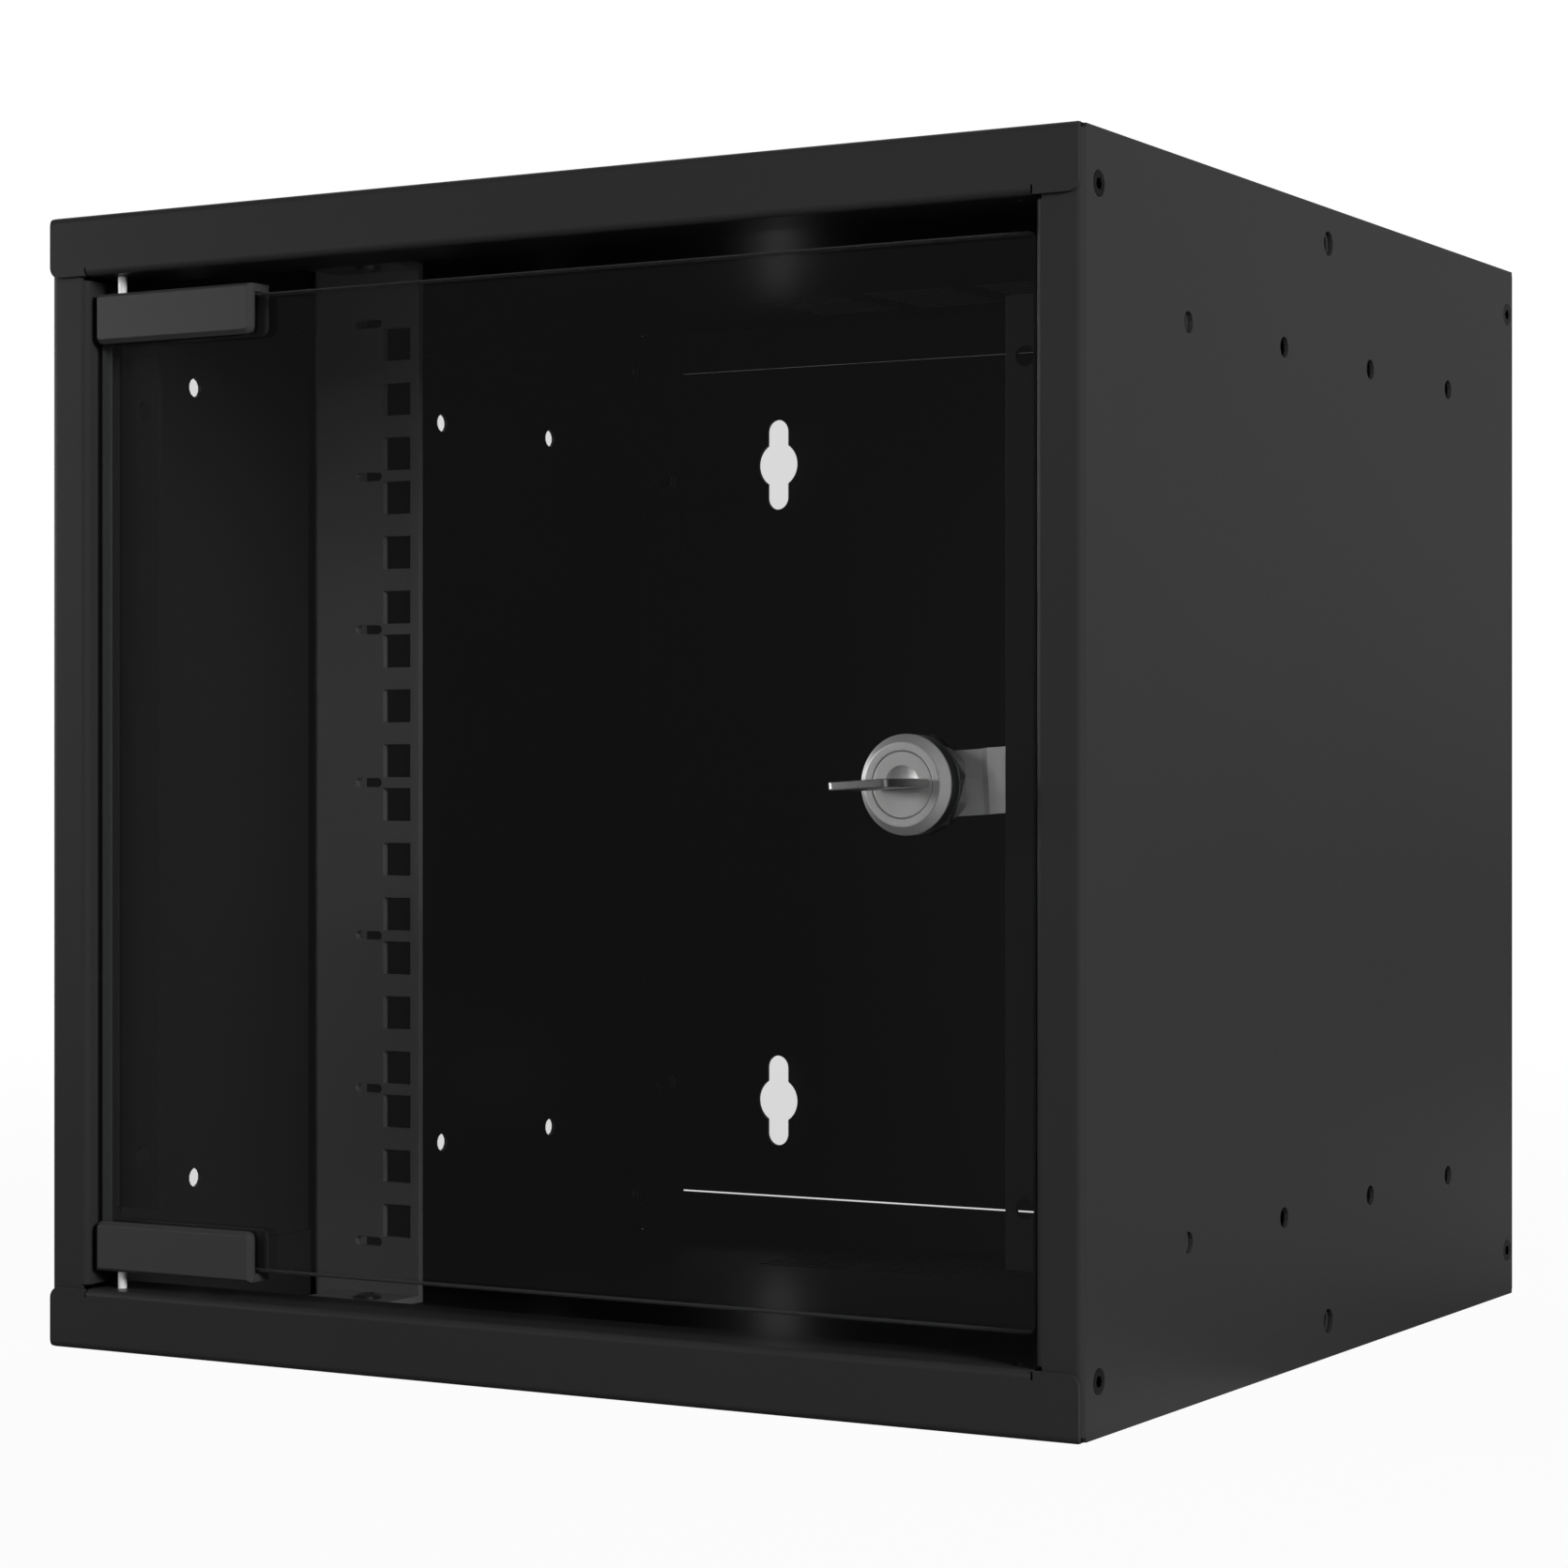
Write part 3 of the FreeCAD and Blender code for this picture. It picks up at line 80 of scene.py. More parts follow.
# Faces that meet at more than this angle have a sharp edge between them
SHARP_ANGLE = math.radians(14)
# Steps of a quarter circle, and of a full turn of the lock's pieces
ARC_STEPS = 8
LOCK_STEPS = 144

# Each lamp's azimuth and elevation in degrees, distance and width in metres, and whether it mirrors
LAMPS = {
    "left_lamp": (-60.0, 8.0, 1.6, 0.42, True),
    "right_lamp": (65.5, 15.0, 1.9, 0.5, False),
    "front_lamp": (-20.0, 12.0, 1.9, 0.6, False),
    "rear_lamp": (200.0, 32.0, 1.9, 0.8, False),
    "overhead": (10.0, 78.0, 1.7, 1.5, False),
}
LAMP_AIM = Vector((0.0, 0.0, 0.15))
WHITE = (1.0, 1.0, 1.0, 1.0)
SENSOR_WIDTH = 36.0
FRAME_SHIFT = -0.0009

CASE_NODES = ("side_panel_left", "side_panel_right", "bottom_panel", "top_panel", "back_panel")
RAIL_NODES = ("rail_left", "rail_right")
CLIP_NODES = ("pivot_clip_bottom", "pivot_clip_top")
LINER_NODES = ("clip_liner_bottom", "clip_liner_top")
PIN_NODES = ("hinge_pin_bottom", "hinge_pin_top")


# ---------------------------------------------------------------- shader maths


class Value:
    """One socket of a node tree; arithmetic on it adds Math nodes."""

    def __init__(self, tree, socket):
        self.tree = tree
        self.socket = socket

    def _math(self, operation, first, second):
        return self.tree.node("ShaderNodeMath", {"operation": operation}, {0: first, 1: second})

    def __add__(self, other):
        return self._math("ADD", self, other)

    def __radd__(self, other):
        return self._math("ADD", other, self)

    def __sub__(self, other):
        return self._math("SUBTRACT", self, other)

    def __rsub__(self, other):
        return self._math("SUBTRACT", other, self)

    def __mul__(self, other):
        return self._math("MULTIPLY", self, other)

    def __rmul__(self, other):
        return self._math("MULTIPLY", other, self)

    def __truediv__(self, other):
        return self._math("DIVIDE", self, other)

    def __pow__(self, other):
        return self._math("POWER", self, other)

    def at_least(self, other):
        return self._math("MAXIMUM", self, other)

    def at_most(self, other):
        return self._math("MINIMUM", self, other)

    def above(self, other):
        return self._math("GREATER_THAN", self, other)

    def size(self):
        return self._math("ABSOLUTE", self, 0.0)


class Tree:
    """Builds a node tree one call at a time."""

    def __init__(self, node_tree):
        self.node_tree = node_tree

    def add(self, kind, settings=None, values=None):
        """Add a node, set it, then fill or link its inputs; returns the node."""
        made = self.node_tree.nodes.new(kind)
        for name, setting in (settings or {}).items():
            setattr(made, name, setting)
        for key, value in (values or {}).items():
            self.feed(made.inputs[key], value)
        return made

    def node(self, kind, settings=None, values=None, output=0):
        """Add a node and return one of its outputs as a Value."""
        return Value(self, self.add(kind, settings, values).outputs[output])

    def feed(self, socket, value):
        """Link a Value to a socket, or write a plain number or colour on it."""
        if isinstance(value, Value):
            self.node_tree.links.new(value.socket, socket)
        else:
            socket.default_value = value

    def object_point(self):
        """Object coordinates, in metres."""
        return self.node("ShaderNodeTexCoord", output="Object")

    def parts_of(self, vector):
        """The three numbers of a vector."""
        split = self.add("ShaderNodeSeparateXYZ", None, {0: vector})
        return [Value(self, socket) for socket in split.outputs]

    def noise(self, vector, scale, detail=2.0, roughness=0.5):
        """A noise between 0 and 1; scale counts grains to the metre."""
        return self.node("ShaderNodeTexNoise", {"normalize": True}, {
            "Vector": vector, "Scale": scale, "Detail": detail, "Roughness": roughness})

    def stretched(self, vector, scale):
        """Coordinates scaled differently along each axis."""
        return self.node("ShaderNodeMapping", {"vector_type": "POINT"},
                         {"Vector": vector, "Scale": scale})

    def blend_colours(self, factor, first, second):
        """Mix two colours."""
        return self.node("ShaderNodeMix", {"data_type": "RGBA"},
                         {"Factor": factor, 6: first, 7: second}, output=2)

    def bump(self, height, distance, normal=None):
        """A bump from a height between 0 and 1."""
        values = {"Height": height, "Distance": distance}
        if normal is not None:
            values["Normal"] = normal
        return self.node("ShaderNodeBump", None, values)

    def soft_edges(self, radius):
        """A normal that rounds sharp edges over a radius in metres."""
        return self.node("ShaderNodeBevel", {"samples": 6}, {"Radius": radius})

    def mix_shaders(self, share, first, second):
        """Mix two shader nodes; the share is the second one's."""
        mixed = self.add("ShaderNodeMixShader", None, {0: share})
        self.node_tree.links.new(first.outputs[0], mixed.inputs[1])
        self.node_tree.links.new(second.outputs[0], mixed.inputs[2])
        return mixed


def grey(level, tint=(0.0, 0.0, 0.0)):
    """A colour from one level and a small tint."""
    return (level + tint[0], level + tint[1], level + tint[2], 1.0)


def new_material(name):
    """A fresh node material: its tree, its shader and its output."""
    material = bpy.data.materials.new(name)
    material.use_nodes = True
    material.node_tree.nodes.clear()
    tree = Tree(material.node_tree)
    output = tree.add("ShaderNodeOutputMaterial")
    shader = tree.add("ShaderNodeBsdfPrincipled")
    material.node_tree.links.new(shader.outputs[0], output.inputs["Surface"])
    return material, tree, shader, output


def shades(tree, mask, level, tint, darkest, lightest):
    """A colour that a mask moves between two shares of one level."""
    return tree.blend_colours(mask, grey(level * darkest, tint), grey(level * lightest, tint))


def feed_finish(tree, shader, colour, roughness, relief, depth, rounding):
    """Feed a shader its colour, its roughness and its fine relief over rounded edges."""
    tree.feed(shader.inputs["Base Color"], colour)
    tree.feed(shader.inputs["Roughness"], roughness)
    tree.feed(shader.inputs["Normal"], tree.bump(relief, depth, tree.soft_edges(rounding)))


def powder_coat(name, level, tint, roughness, grain_scale, grain_height, specular):
    """Stoved powder coat: a fine orange peel over a nearly even dark colour."""
    material, tree, shader, _ = new_material(name)
    point = tree.object_point()
    cloud = tree.noise(point, 9.0, detail=3.0)
    peel = tree.noise(point, grain_scale, roughness=0.55)
    fleck = tree.noise(point, grain_scale * 2.7, detail=1.0)
    colour = shades(tree, cloud * 0.6 + fleck * 0.4, level, tint, 0.88, 1.12)
    feed_finish(tree, shader, colour, roughness - 0.05 + peel * 0.1 + cloud * 0.03,
                peel * 0.8 + fleck * 0.2, grain_height, rounding=0.35 * MM)
    shader.inputs["Specular IOR Level"].default_value = specular
    return material


def plated_steel(name, level, tint, roughness, metallic=1.0):
    """Zinc or nickel plating with a soft crystalline mottle."""
    material, tree, shader, _ = new_material(name)
    point = tree.object_point()
    mottle = tree.noise(point, 420.0, detail=3.0, roughness=0.6)
    fine = tree.noise(point, 2600.0, detail=1.0)
    colour = shades(tree, mottle, level, tint, 0.85, 1.1)
    feed_finish(tree, shader, colour, roughness - 0.06 + mottle * 0.12, fine,
                depth=0.006 * MM, rounding=0.2 * MM)
    shader.inputs["Metallic"].default_value = metallic
    return material


def drawn_steel(name, level, tint, roughness, stretch, metallic=1.0):
    """Rolled or ground steel with fine lines along one axis."""
    material, tree, shader, _ = new_material(name)
    point = tree.object_point()
    lines = tree.noise(tree.stretched(point, stretch), 1.0, detail=3.0, roughness=0.6)
    cloud = tree.noise(point, 130.0)
    colour = shades(tree, lines * 0.7 + cloud * 0.3, level, tint, 0.8, 1.12)
    feed_finish(tree, shader, colour, roughness - 0.05 + lines * 0.12, lines,
                depth=0.012 * MM, rounding=0.3 * MM)
    shader.inputs["Metallic"].default_value = metallic
    return material


def turned_plating(name, level, tint, roughness, metallic):
    """Nickel over turned metal: faint rings round the lock's axis."""
    material, tree, shader, _ = new_material(name)
    point = tree.object_point()
    x, _, z = tree.parts_of(point)
    across = x - LOCK_X
    upward = z - LOCK_Z
    radius = (across * across + upward * upward) ** 0.5
    spread = tree.node("ShaderNodeCombineXYZ", None, {0: radius, 1: 0.0, 2: 0.0})
    rings = tree.noise(spread, 6500.0, roughness=0.6)
    cloud = tree.noise(point, 160.0)
    colour = shades(tree, cloud, level, tint, 0.92, 1.06)
    feed_finish(tree, shader, colour, roughness - 0.03 + rings * 0.08, rings,
                depth=0.004 * MM, rounding=0.25 * MM)
    shader.inputs["Metallic"].default_value = metallic
    return material


def soft_strip(name, level):
    """Matt black rubber."""
    material, tree, shader, _ = new_material(name)
    grain = tree.noise(tree.object_point(), 1800.0)
    tree.feed(shader.inputs["Base Color"], shades(tree, grain, level, (0.0, 0.0, 0.0), 0.8, 1.3))
    tree.feed(shader.inputs["Roughness"], 0.7 + grain * 0.15)
    shader.inputs["Specular IOR Level"].default_value = 0.3
    tree.feed(shader.inputs["Normal"], tree.bump(grain, 0.02 * MM))
    return material


def toughened_glass(name, tint, edge_colour):
    """A tinted pane: clear faces that mirror at a slant, darker ground edges."""
    head_on_mirror = 0.04
    edge_cover = 0.85
    material, tree, shader, output = new_material(name)
    point = tree.object_point()
    ripple = tree.noise(point, 14.0, detail=1.0)
    smear = tree.noise(point, 40.0, detail=4.0, roughness=0.65)
    shader.inputs["Base Color"].default_value = WHITE
    shader.inputs["Metallic"].default_value = 1.0
    tree.feed(shader.inputs["Roughness"], 0.02 + smear * 0.03)
    tree.feed(shader.inputs["Normal"], tree.bump(ripple, 0.02 * MM))
    clear = tree.add("ShaderNodeBsdfTransparent")
    clear.inputs["Color"].default_value = tint
    slant = tree.node("ShaderNodeLayerWeight", None, {"Blend": 0.5}, output="Facing")
    mirror_share = head_on_mirror + slant ** 5.0 * (1.0 - head_on_mirror)
    pane = tree.mix_shaders(mirror_share, clear, shader)
    edge = tree.add("ShaderNodeBsdfPrincipled")
    edge.inputs["Base Color"].default_value = edge_colour
    edge.inputs["Roughness"].default_value = 0.25
    _, depthwise, _ = tree.parts_of(tree.node("ShaderNodeTexCoord", output="Normal"))
    is_edge = 1.0 - depthwise.size().above(0.8)
    whole = tree.mix_shaders(is_edge * edge_cover, pane, edge)
    tree.node_tree.links.new(whole.outputs[0], output.inputs["Surface"])
    return material


# ---------------------------------------------------------------- geometry helpers


def dress(nodes, material):
    """Give CAD nodes a finish."""
    for name in nodes:
        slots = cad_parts[name].material_slots
        for slot in slots:
            slot.material = material
        if not slots:
            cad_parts[name].data.materials.append(material)


def link_mesh(name, mesh, body, material):
    """Put a finished mesh in the scene, on one of the moving bodies."""
    piece = bpy.data.objects.new(name, mesh)
    bpy.context.scene.collection.objects.link(piece)
    mesh.materials.clear()
    mesh.materials.append(material)
    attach(piece, body)
    return piece


def new_group(name, sockets):
    """A geometry node group with the given inputs: its tree and the inputs as Values."""
    group = bpy.data.node_groups.new(name, "GeometryNodeTree")
    for label, kind in sockets:
        group.interface.new_socket(label, in_out="INPUT", socket_type="NodeSocket" + kind)
    group.interface.new_socket("Geometry", in_out="OUTPUT", socket_type="NodeSocketGeometry")
    tree = Tree(group)
    entry = tree.add("NodeGroupInput")
    given = {socket.name: Value(tree, socket) for socket in entry.outputs if socket.name}
    return tree, given


def finish_group(tree, points, given):
    """Put the given geometry on points, make it real, paint it and hand it out."""
    placed = tree.node("GeometryNodeInstanceOnPoints", None,
                       {"Points": points, "Instance": given["Geometry"]})
    real = tree.node("GeometryNodeRealizeInstances", None, {0: placed})
    painted = tree.node("GeometryNodeSetMaterial", None,
                        {"Geometry": real, "Material": given["Material"]})
    leave = tree.add("NodeGroupOutput")
    tree.feed(leave.inputs[0], painted)
    return tree.node_tree


def thread_tree():
    """Ridges repeated along Z."""
    tree, given = new_group("thread", [("Geometry", "Geometry"), ("Count", "Int"),
                                       ("Pitch", "Float"), ("Material", "Material")])
    step = tree.node("ShaderNodeCombineXYZ", None, {0: 0.0, 1: 0.0, 2: given["Pitch"]})
    row = tree.node("GeometryNodeMeshLine", {"mode": "OFFSET"},
                    {"Count": given["Count"], "Offset": step})
    return finish_group(tree, row, given)


def corner_tree():
    """One fastener on each point of a grid that lies in the XY plane."""
    tree, given = new_group("corners", [("Geometry", "Geometry"), ("Columns", "Int"),
                                        ("Rows", "Int"), ("Width", "Float"),
                                        ("Height", "Float"), ("Material", "Material")])
    grid = tree.node("GeometryNodeMeshGrid", None, {
        "Size X": given["Width"], "Size Y": given["Height"],
        "Vertices X": given["Columns"], "Vertices Y": given["Rows"]})
    return finish_group(tree, grid, given)


def run_nodes(seed, group, inputs):
    """Evaluate a node tree on a seed mesh and return the result as a plain mesh."""
    carrier = bpy.data.objects.new("carrier", seed)
    bpy.context.scene.collection.objects.link(carrier)
    modifier = carrier.modifiers.new("repeat", "NODES")
    modifier.node_group = group
    for socket in group.interface.items_tree:
        if socket.in_out == "INPUT" and socket.name in inputs:
            modifier[socket.identifier] = inputs[socket.name]
    bpy.context.view_layer.update()
    graph = bpy.context.evaluated_depsgraph_get()
    mesh = bpy.data.meshes.new_from_object(carrier.evaluated_get(graph))
    bpy.data.objects.remove(carrier)
    return mesh


def lathe(name, profile_at, segments):
    """Turn a closed profile round Z; profile_at gives (radius, height) points for an angle."""
    shape = bmesh.new()
    rows = []
    for index in range(segments):
        angle = 2 * math.pi * index / segments
        rows.append([shape.verts.new((radius * math.cos(angle), radius * math.sin(angle), height))
                     for radius, height in profile_at(angle)])
    for here, there in zip(rows, rows[1:] + rows[:1]):
        for index, low in enumerate(here):
            following = (index + 1) % len(here)
            on_axis = max(low.co.xy.length, here[following].co.xy.length) < ON_AXIS
            if not on_axis:
                shape.faces.new((low, there[index], there[following], here[following]))
    bmesh.ops.remove_doubles(shape, verts=shape.verts, dist=SAME_POINT)
    return finished(name, shape)


def finished(name, shape):
    """A mesh from a bmesh: normals outwards, smooth faces with sharp edges by their angle."""
    bmesh.ops.recalc_face_normals(shape, faces=shape.faces)
    mesh = bpy.data.meshes.new(name)
    shape.to_mesh(mesh)
    shape.free()
    mesh.shade_smooth()
    mesh.set_sharp_from_angle(angle=SHARP_ANGLE)
    return mesh


def joined(name, meshes):
    """Several meshes as one."""
    shape = bmesh.new()
    for mesh in meshes:
        shape.from_mesh(mesh)
    return finished(name, shape)


def outline_plate(name, loops, thickness, bevel):
    """A flat plate in the XY plane from closed loops of points, with rounded edges."""
    curve = bpy.data.curves.new(name, "CURVE")
    curve.dimensions = "2D"
    curve.fill_mode = "BOTH"
    curve.extrude = thickness / 2 - bevel
    curve.bevel_depth = bevel
    curve.bevel_resolution = 2
    curve.offset = -bevel
    for loop in loops:
        spline = curve.splines.new("POLY")
        spline.points.add(len(loop) - 1)
        for point, (x, y) in zip(spline.points, loop):
            point.co = (x, y, 0.0, 1.0)
        spline.use_cyclic_u = True
    carrier = bpy.data.objects.new(name, curve)
    mesh = bpy.data.meshes.new_from_object(carrier)
    bpy.data.objects.remove(carrier)
    shape = bmesh.new()
    shape.from_mesh(mesh)
    bmesh.ops.remove_doubles(shape, verts=shape.verts, dist=SAME_OUTLINE_POINT)
    return finished(name, shape)


def corner_arc(x, y, radius, start):
    """Points of a quarter circle round (x, y), from an angle in degrees."""
    angles = [math.radians(start + 90 * step / ARC_STEPS) for step in range(ARC_STEPS + 1)]
    return [(x + radius * math.cos(angle), y + radius * math.sin(angle)) for angle in angles]


def polygon_reach(angle, flats, sides):
    """Distance from the axis to a regular polygon's side; flats is over two sides."""
    step = 2 * math.pi / sides
    return flats / 2 / math.cos(angle % step - step / 2)


def cut_away(mesh, tool_mesh, name):
    """Take one closed mesh out of another."""
    base = bpy.data.objects.new(name, mesh)
    tool = bpy.data.objects.new("tool", tool_mesh)
    for item in (base, tool):
        bpy.context.scene.collection.objects.link(item)
    modifier = base.modifiers.new("cut", "BOOLEAN")
    modifier.solver = "EXACT"
    modifier.object = tool
    bpy.context.view_layer.update()
    graph = bpy.context.evaluated_depsgraph_get()
    result = bpy.data.meshes.new_from_object(base.evaluated_get(graph))
    for item in (base, tool):
        bpy.data.objects.remove(item)
    shape = bmesh.new()
    shape.from_mesh(result)
    bmesh.ops.remove_doubles(shape, verts=shape.verts, dist=SAME_POINT)
    return finished(name, shape)


def block(name, low, high):
    """A closed box between two corners, as a tool to cut with."""
    shape = bmesh.new()
    bmesh.ops.create_cube(shape, size=1.0)
    middle = (Vector(low) + Vector(high)) / 2
    size = Vector(high) - Vector(low)
    for corner in shape.verts:
        corner.co = middle + Vector(a * b for a, b in zip(corner.co, size))
    return finished(name, shape)


def facing(direction):
    """Turn that points +Z along one of the frame's axes and keeps the other two square to it."""
    aim = Vector(direction)
    if abs(aim.z) > 0.5:
        return Matrix.Rotation(0.0 if aim.z > 0 else math.pi, 4, "X")
    return aim.to_track_quat("Z", "Y").to_matrix().to_4x4()


def seat_on_lock(mesh, spin=0.0):
    """Move a mesh drawn forwards round +Z to the lock."""
    place = Matrix.Translation((LOCK_X, PANE_FRONT_Y, LOCK_Z))
    forward = Matrix.Rotation(math.radians(90), 4, "X")
    mesh.transform(place @ Matrix.Rotation(LOCK_TILT, 4, "Y") @ forward
                   @ Matrix.Rotation(spin, 4, "Z"))
    return mesh


# ---------------------------------------------------------------- fasteners


def thread_profile(major, depth, top, bottom, pitch):
    """Profile points of a thread from its top down to its bottom end."""
    turns = int((top - bottom) / pitch)
    points = []
    for turn in range(turns):
        height = top - turn * pitch
        points += [(major - depth, height), (major, height - pitch * 0.4),
                   (major, height - pitch * 0.6)]
    return points + [(major - depth, top - turns * pitch), (major - depth * 1.6, bottom)]


def sunk_screw(radius, sheet, length, shank):
    """A countersunk screw with a hexagon socket; its head's face lies at zero."""
    socket = 2.5 * MM
    deep = 1.4 * MM
    cone = 0.25 * MM
    chamfer = 0.12 * MM
    edge = 0.15 * MM

    def profile(angle):
        reach = polygon_reach(angle, socket, 6)
        head = [(0.0, -deep - cone), (reach, -deep), (reach, -chamfer), (reach + chamfer, 0.0),
                (radius - edge, 0.0), (radius, -edge), (shank, -sheet)]
        thread = thread_profile(shank, THREAD_DEPTH, -sheet, -length, THREAD_PITCH)
        return head + thread + [(0.0, -length)]

    return lathe("sunk_screw", profile, 36)


def press_nut(radius, bore, height):
    """A round press nut that stands on a sheet at zero."""
    mouth = 0.25 * MM
    groove = 0.35 * MM
    rings = thread_profile(bore, -FINE_DEPTH, height - mouth, 0.3 * MM, FINE_PITCH)

    def profile(_):
        return [(bore + mouth, height)] + rings + [
            (bore + FINE_DEPTH, 0.0), (radius, 0.0), (radius, height * 0.3),
            (radius - groove, height * 0.42), (radius - groove, height - 0.2 * MM),
            (radius - groove - 0.2 * MM, height)]

    return lathe("press_nut", profile, 36)


def pan_screw(radius, height, shank, length):
    """A pan head screw with a cross recess; the head stands up from zero."""
    arm = 0.55 * MM
    longest = 2.1 * MM
    rim = 2.3 * MM
    deep = 1.3 * MM
    wall = 0.45
    turns = [math.radians(turn) for turn in (50, 65, 80, 90)]
    dome = [(radius * math.sin(turn), height * (wall + (1 - wall) * math.cos(turn))) for turn in turns]
    thread = thread_profile(shank, THREAD_DEPTH, 0.0, -length, THREAD_PITCH)

    def profile(angle):
        slant = abs(math.sin(2 * angle)) / 2
        reach = min(longest, arm / max(slant, 1e-3))
        recess = [(0.0, height - deep), (reach * 0.5, height - deep + 0.1 * MM),
                  (reach, height - 0.12 * MM), (rim, height - 0.1 * MM)]
        return recess + dome + [(radius, 0.0), (shank, 0.0)] + thread + [(0.0, -length)]

    return lathe("pan_screw", profile, 40)


def set_screw(radius, length):
    """A headless screw with a hexagon socket; it goes down from zero."""
    socket = 2.0 * MM
    deep = 1.5 * MM
    chamfer = 0.1 * MM
    thread = thread_profile(radius, FINE_DEPTH, -0.15 * MM, -length, FINE_PITCH)

    def profile(angle):
        reach = polygon_reach(angle, socket, 6)
        return [(0.0, -deep - chamfer), (reach, -deep), (reach, -chamfer), (reach + chamfer, 0.0),
                (radius - 0.3 * MM, 0.0)] + thread + [(0.0, -length)]

    return lathe("set_screw", profile, 30)


def fasten(node, seed, radius, sides, material, body="cabinet"):
    """Put a fastener on each of a CAD node's places and let the set stand for the node.

    Each side is the way the fasteners point and the level of their seat along that axis.
    """
    low, high = (Vector(corner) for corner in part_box(node))
    sets = []
    for direction, seat in sides:
        turn = facing(direction)
        spans = turn.inverted().to_3x3() @ (high - low)
        width, height = (max(abs(span) - 2 * radius, 0.0) for span in spans[:2])
        centre = (low + high) / 2
        axis = [abs(share) for share in direction].index(1)
        centre[axis] = seat
        mesh = run_nodes(seed.copy(), corner_tree(), {
            "Columns": 2 if width > MM else 1, "Rows": 2 if height > MM else 1,
            "Width": width, "Height": height, "Material": material})
        mesh.transform(Matrix.Translation(centre) @ turn)
        sets.append(mesh)
    piece = link_mesh(node + "_set", joined(node, sets), body, material)
    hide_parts(node)


# ---------------------------------------------------------------- the lock


def flat_reach(angle):
    """Distance from the axis to the line of the barrel's flats."""
    return BARREL_FLAT / max(abs(math.cos(angle)), 1e-6)


def lock_head(thread):
    """Bevelled head with a recess for the plug, on a barrel with two flats, and a thread's ridge."""
    box_low, box_high = (Vector(corner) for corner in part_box("lock_housing"))
    rim = (box_high.z - box_low.z) / 2
    head = PANE_FRONT_Y - box_low.y
    barrel = box_high.y - PANE_FRONT_Y
    face = 10.1 * MM
    seat = 8.02 * MM
    recess = 1.4 * MM
    core = 6.6 * MM
    trim = 0.2 * MM
    break_edge = trim * 0.4
    cone_foot = 0.7 * MM
    edge_top = 0.5 * MM

    def profile(angle):
        wall = min(BARREL_RADIUS, flat_reach(angle))
        return [(seat, head - trim), (seat + trim, head), (face - trim, head),
                (face, head - break_edge), (rim - trim, cone_foot), (rim, edge_top),
                (rim, break_edge), (rim - break_edge, 0.0), (wall, 0.0), (wall, trim - barrel),
                (wall - trim, -barrel), (core, -barrel), (core, -recess), (seat, -recess)]

    def ridge(angle):
        flat = flat_reach(angle)
        half = thread.pitch * 0.45
        foot = min(BARREL_RADIUS - 0.12 * MM, flat - 0.1 * MM)
        crest = min(BARREL_RADIUS + thread.height, flat + 0.02 * MM)
        return [(foot, half), (crest, half / 4), (crest, -half / 4), (foot, -half)]

    return seat_on_lock(lathe("lock_head", profile, LOCK_STEPS)), lathe("ridge", ridge, 96)


def lock_plug(key_width, key_thick):
    """The plug: a front disc with a keyway and half a dish above it, a core and a square end."""
    box_low, box_high = (Vector(corner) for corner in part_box("lock_plug"))
    disc = PANE_FRONT_Y - box_low.y
    disc_back = -1.3 * MM
    radius = 7.92 * MM
    core = 6.5 * MM
    core_end = PANE_FRONT_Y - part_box("lock_housing")[1][1] - 0.2 * MM
    square_flats = 7.0 * MM
    end = box_high.y - PANE_FRONT_Y
    dish = 4.5 * MM
    dish_depth = 1.15 * MM
    flat_depth = 0.03 * MM
    dish_seam = 0.02
    keyway_end = -10.6 * MM
    trim = 0.18 * MM

    def profile(angle):
        square = min(polygon_reach(angle, square_flats, 4), core)
        deep = dish_depth if dish_seam < angle < math.pi - dish_seam else flat_depth
        bowl = [(dish * math.sin(math.radians(turn)), disc - deep * math.cos(math.radians(turn)))
                for turn in (0, 15, 30, 45, 60, 72, 82)]
        return bowl + [(dish, disc), (radius - trim, disc), (radius, disc - trim),
                       (radius, disc_back), (core, disc_back), (core, core_end),
                       (square, core_end), (square, -end), (0.0, -end)]

    plug = lathe("lock_plug_body", profile, LOCK_STEPS)
    slot = block("keyway", (-key_width / 2, -key_thick / 2, keyway_end),
                 (key_width / 2, key_thick / 2, disc + MM))
    return seat_on_lock(cut_away(plug, slot, "lock_plug_body"))


def lock_nut_mesh(spin):
    """A thin hexagon nut, chamfered on both faces."""
    low, high = (Vector(corner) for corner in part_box("lock_nut"))
    top = PANE_FRONT_Y - low.y
    foot = PANE_FRONT_Y - high.y
    flats = 21.7 * MM
    start = 10.4 * MM
    slope = 0.5
    bore = BARREL_RADIUS + 0.05 * MM

    def profile(angle):
        reach = polygon_reach(angle, flats, 6)
        drop = max(reach - start, 0.0) * slope
        return [(bore, top), (start, top), (reach, top - drop), (reach, foot + drop),
                (start, foot), (bore, foot)]

    return seat_on_lock(lathe("lock_nut_body", profile, LOCK_STEPS), spin)


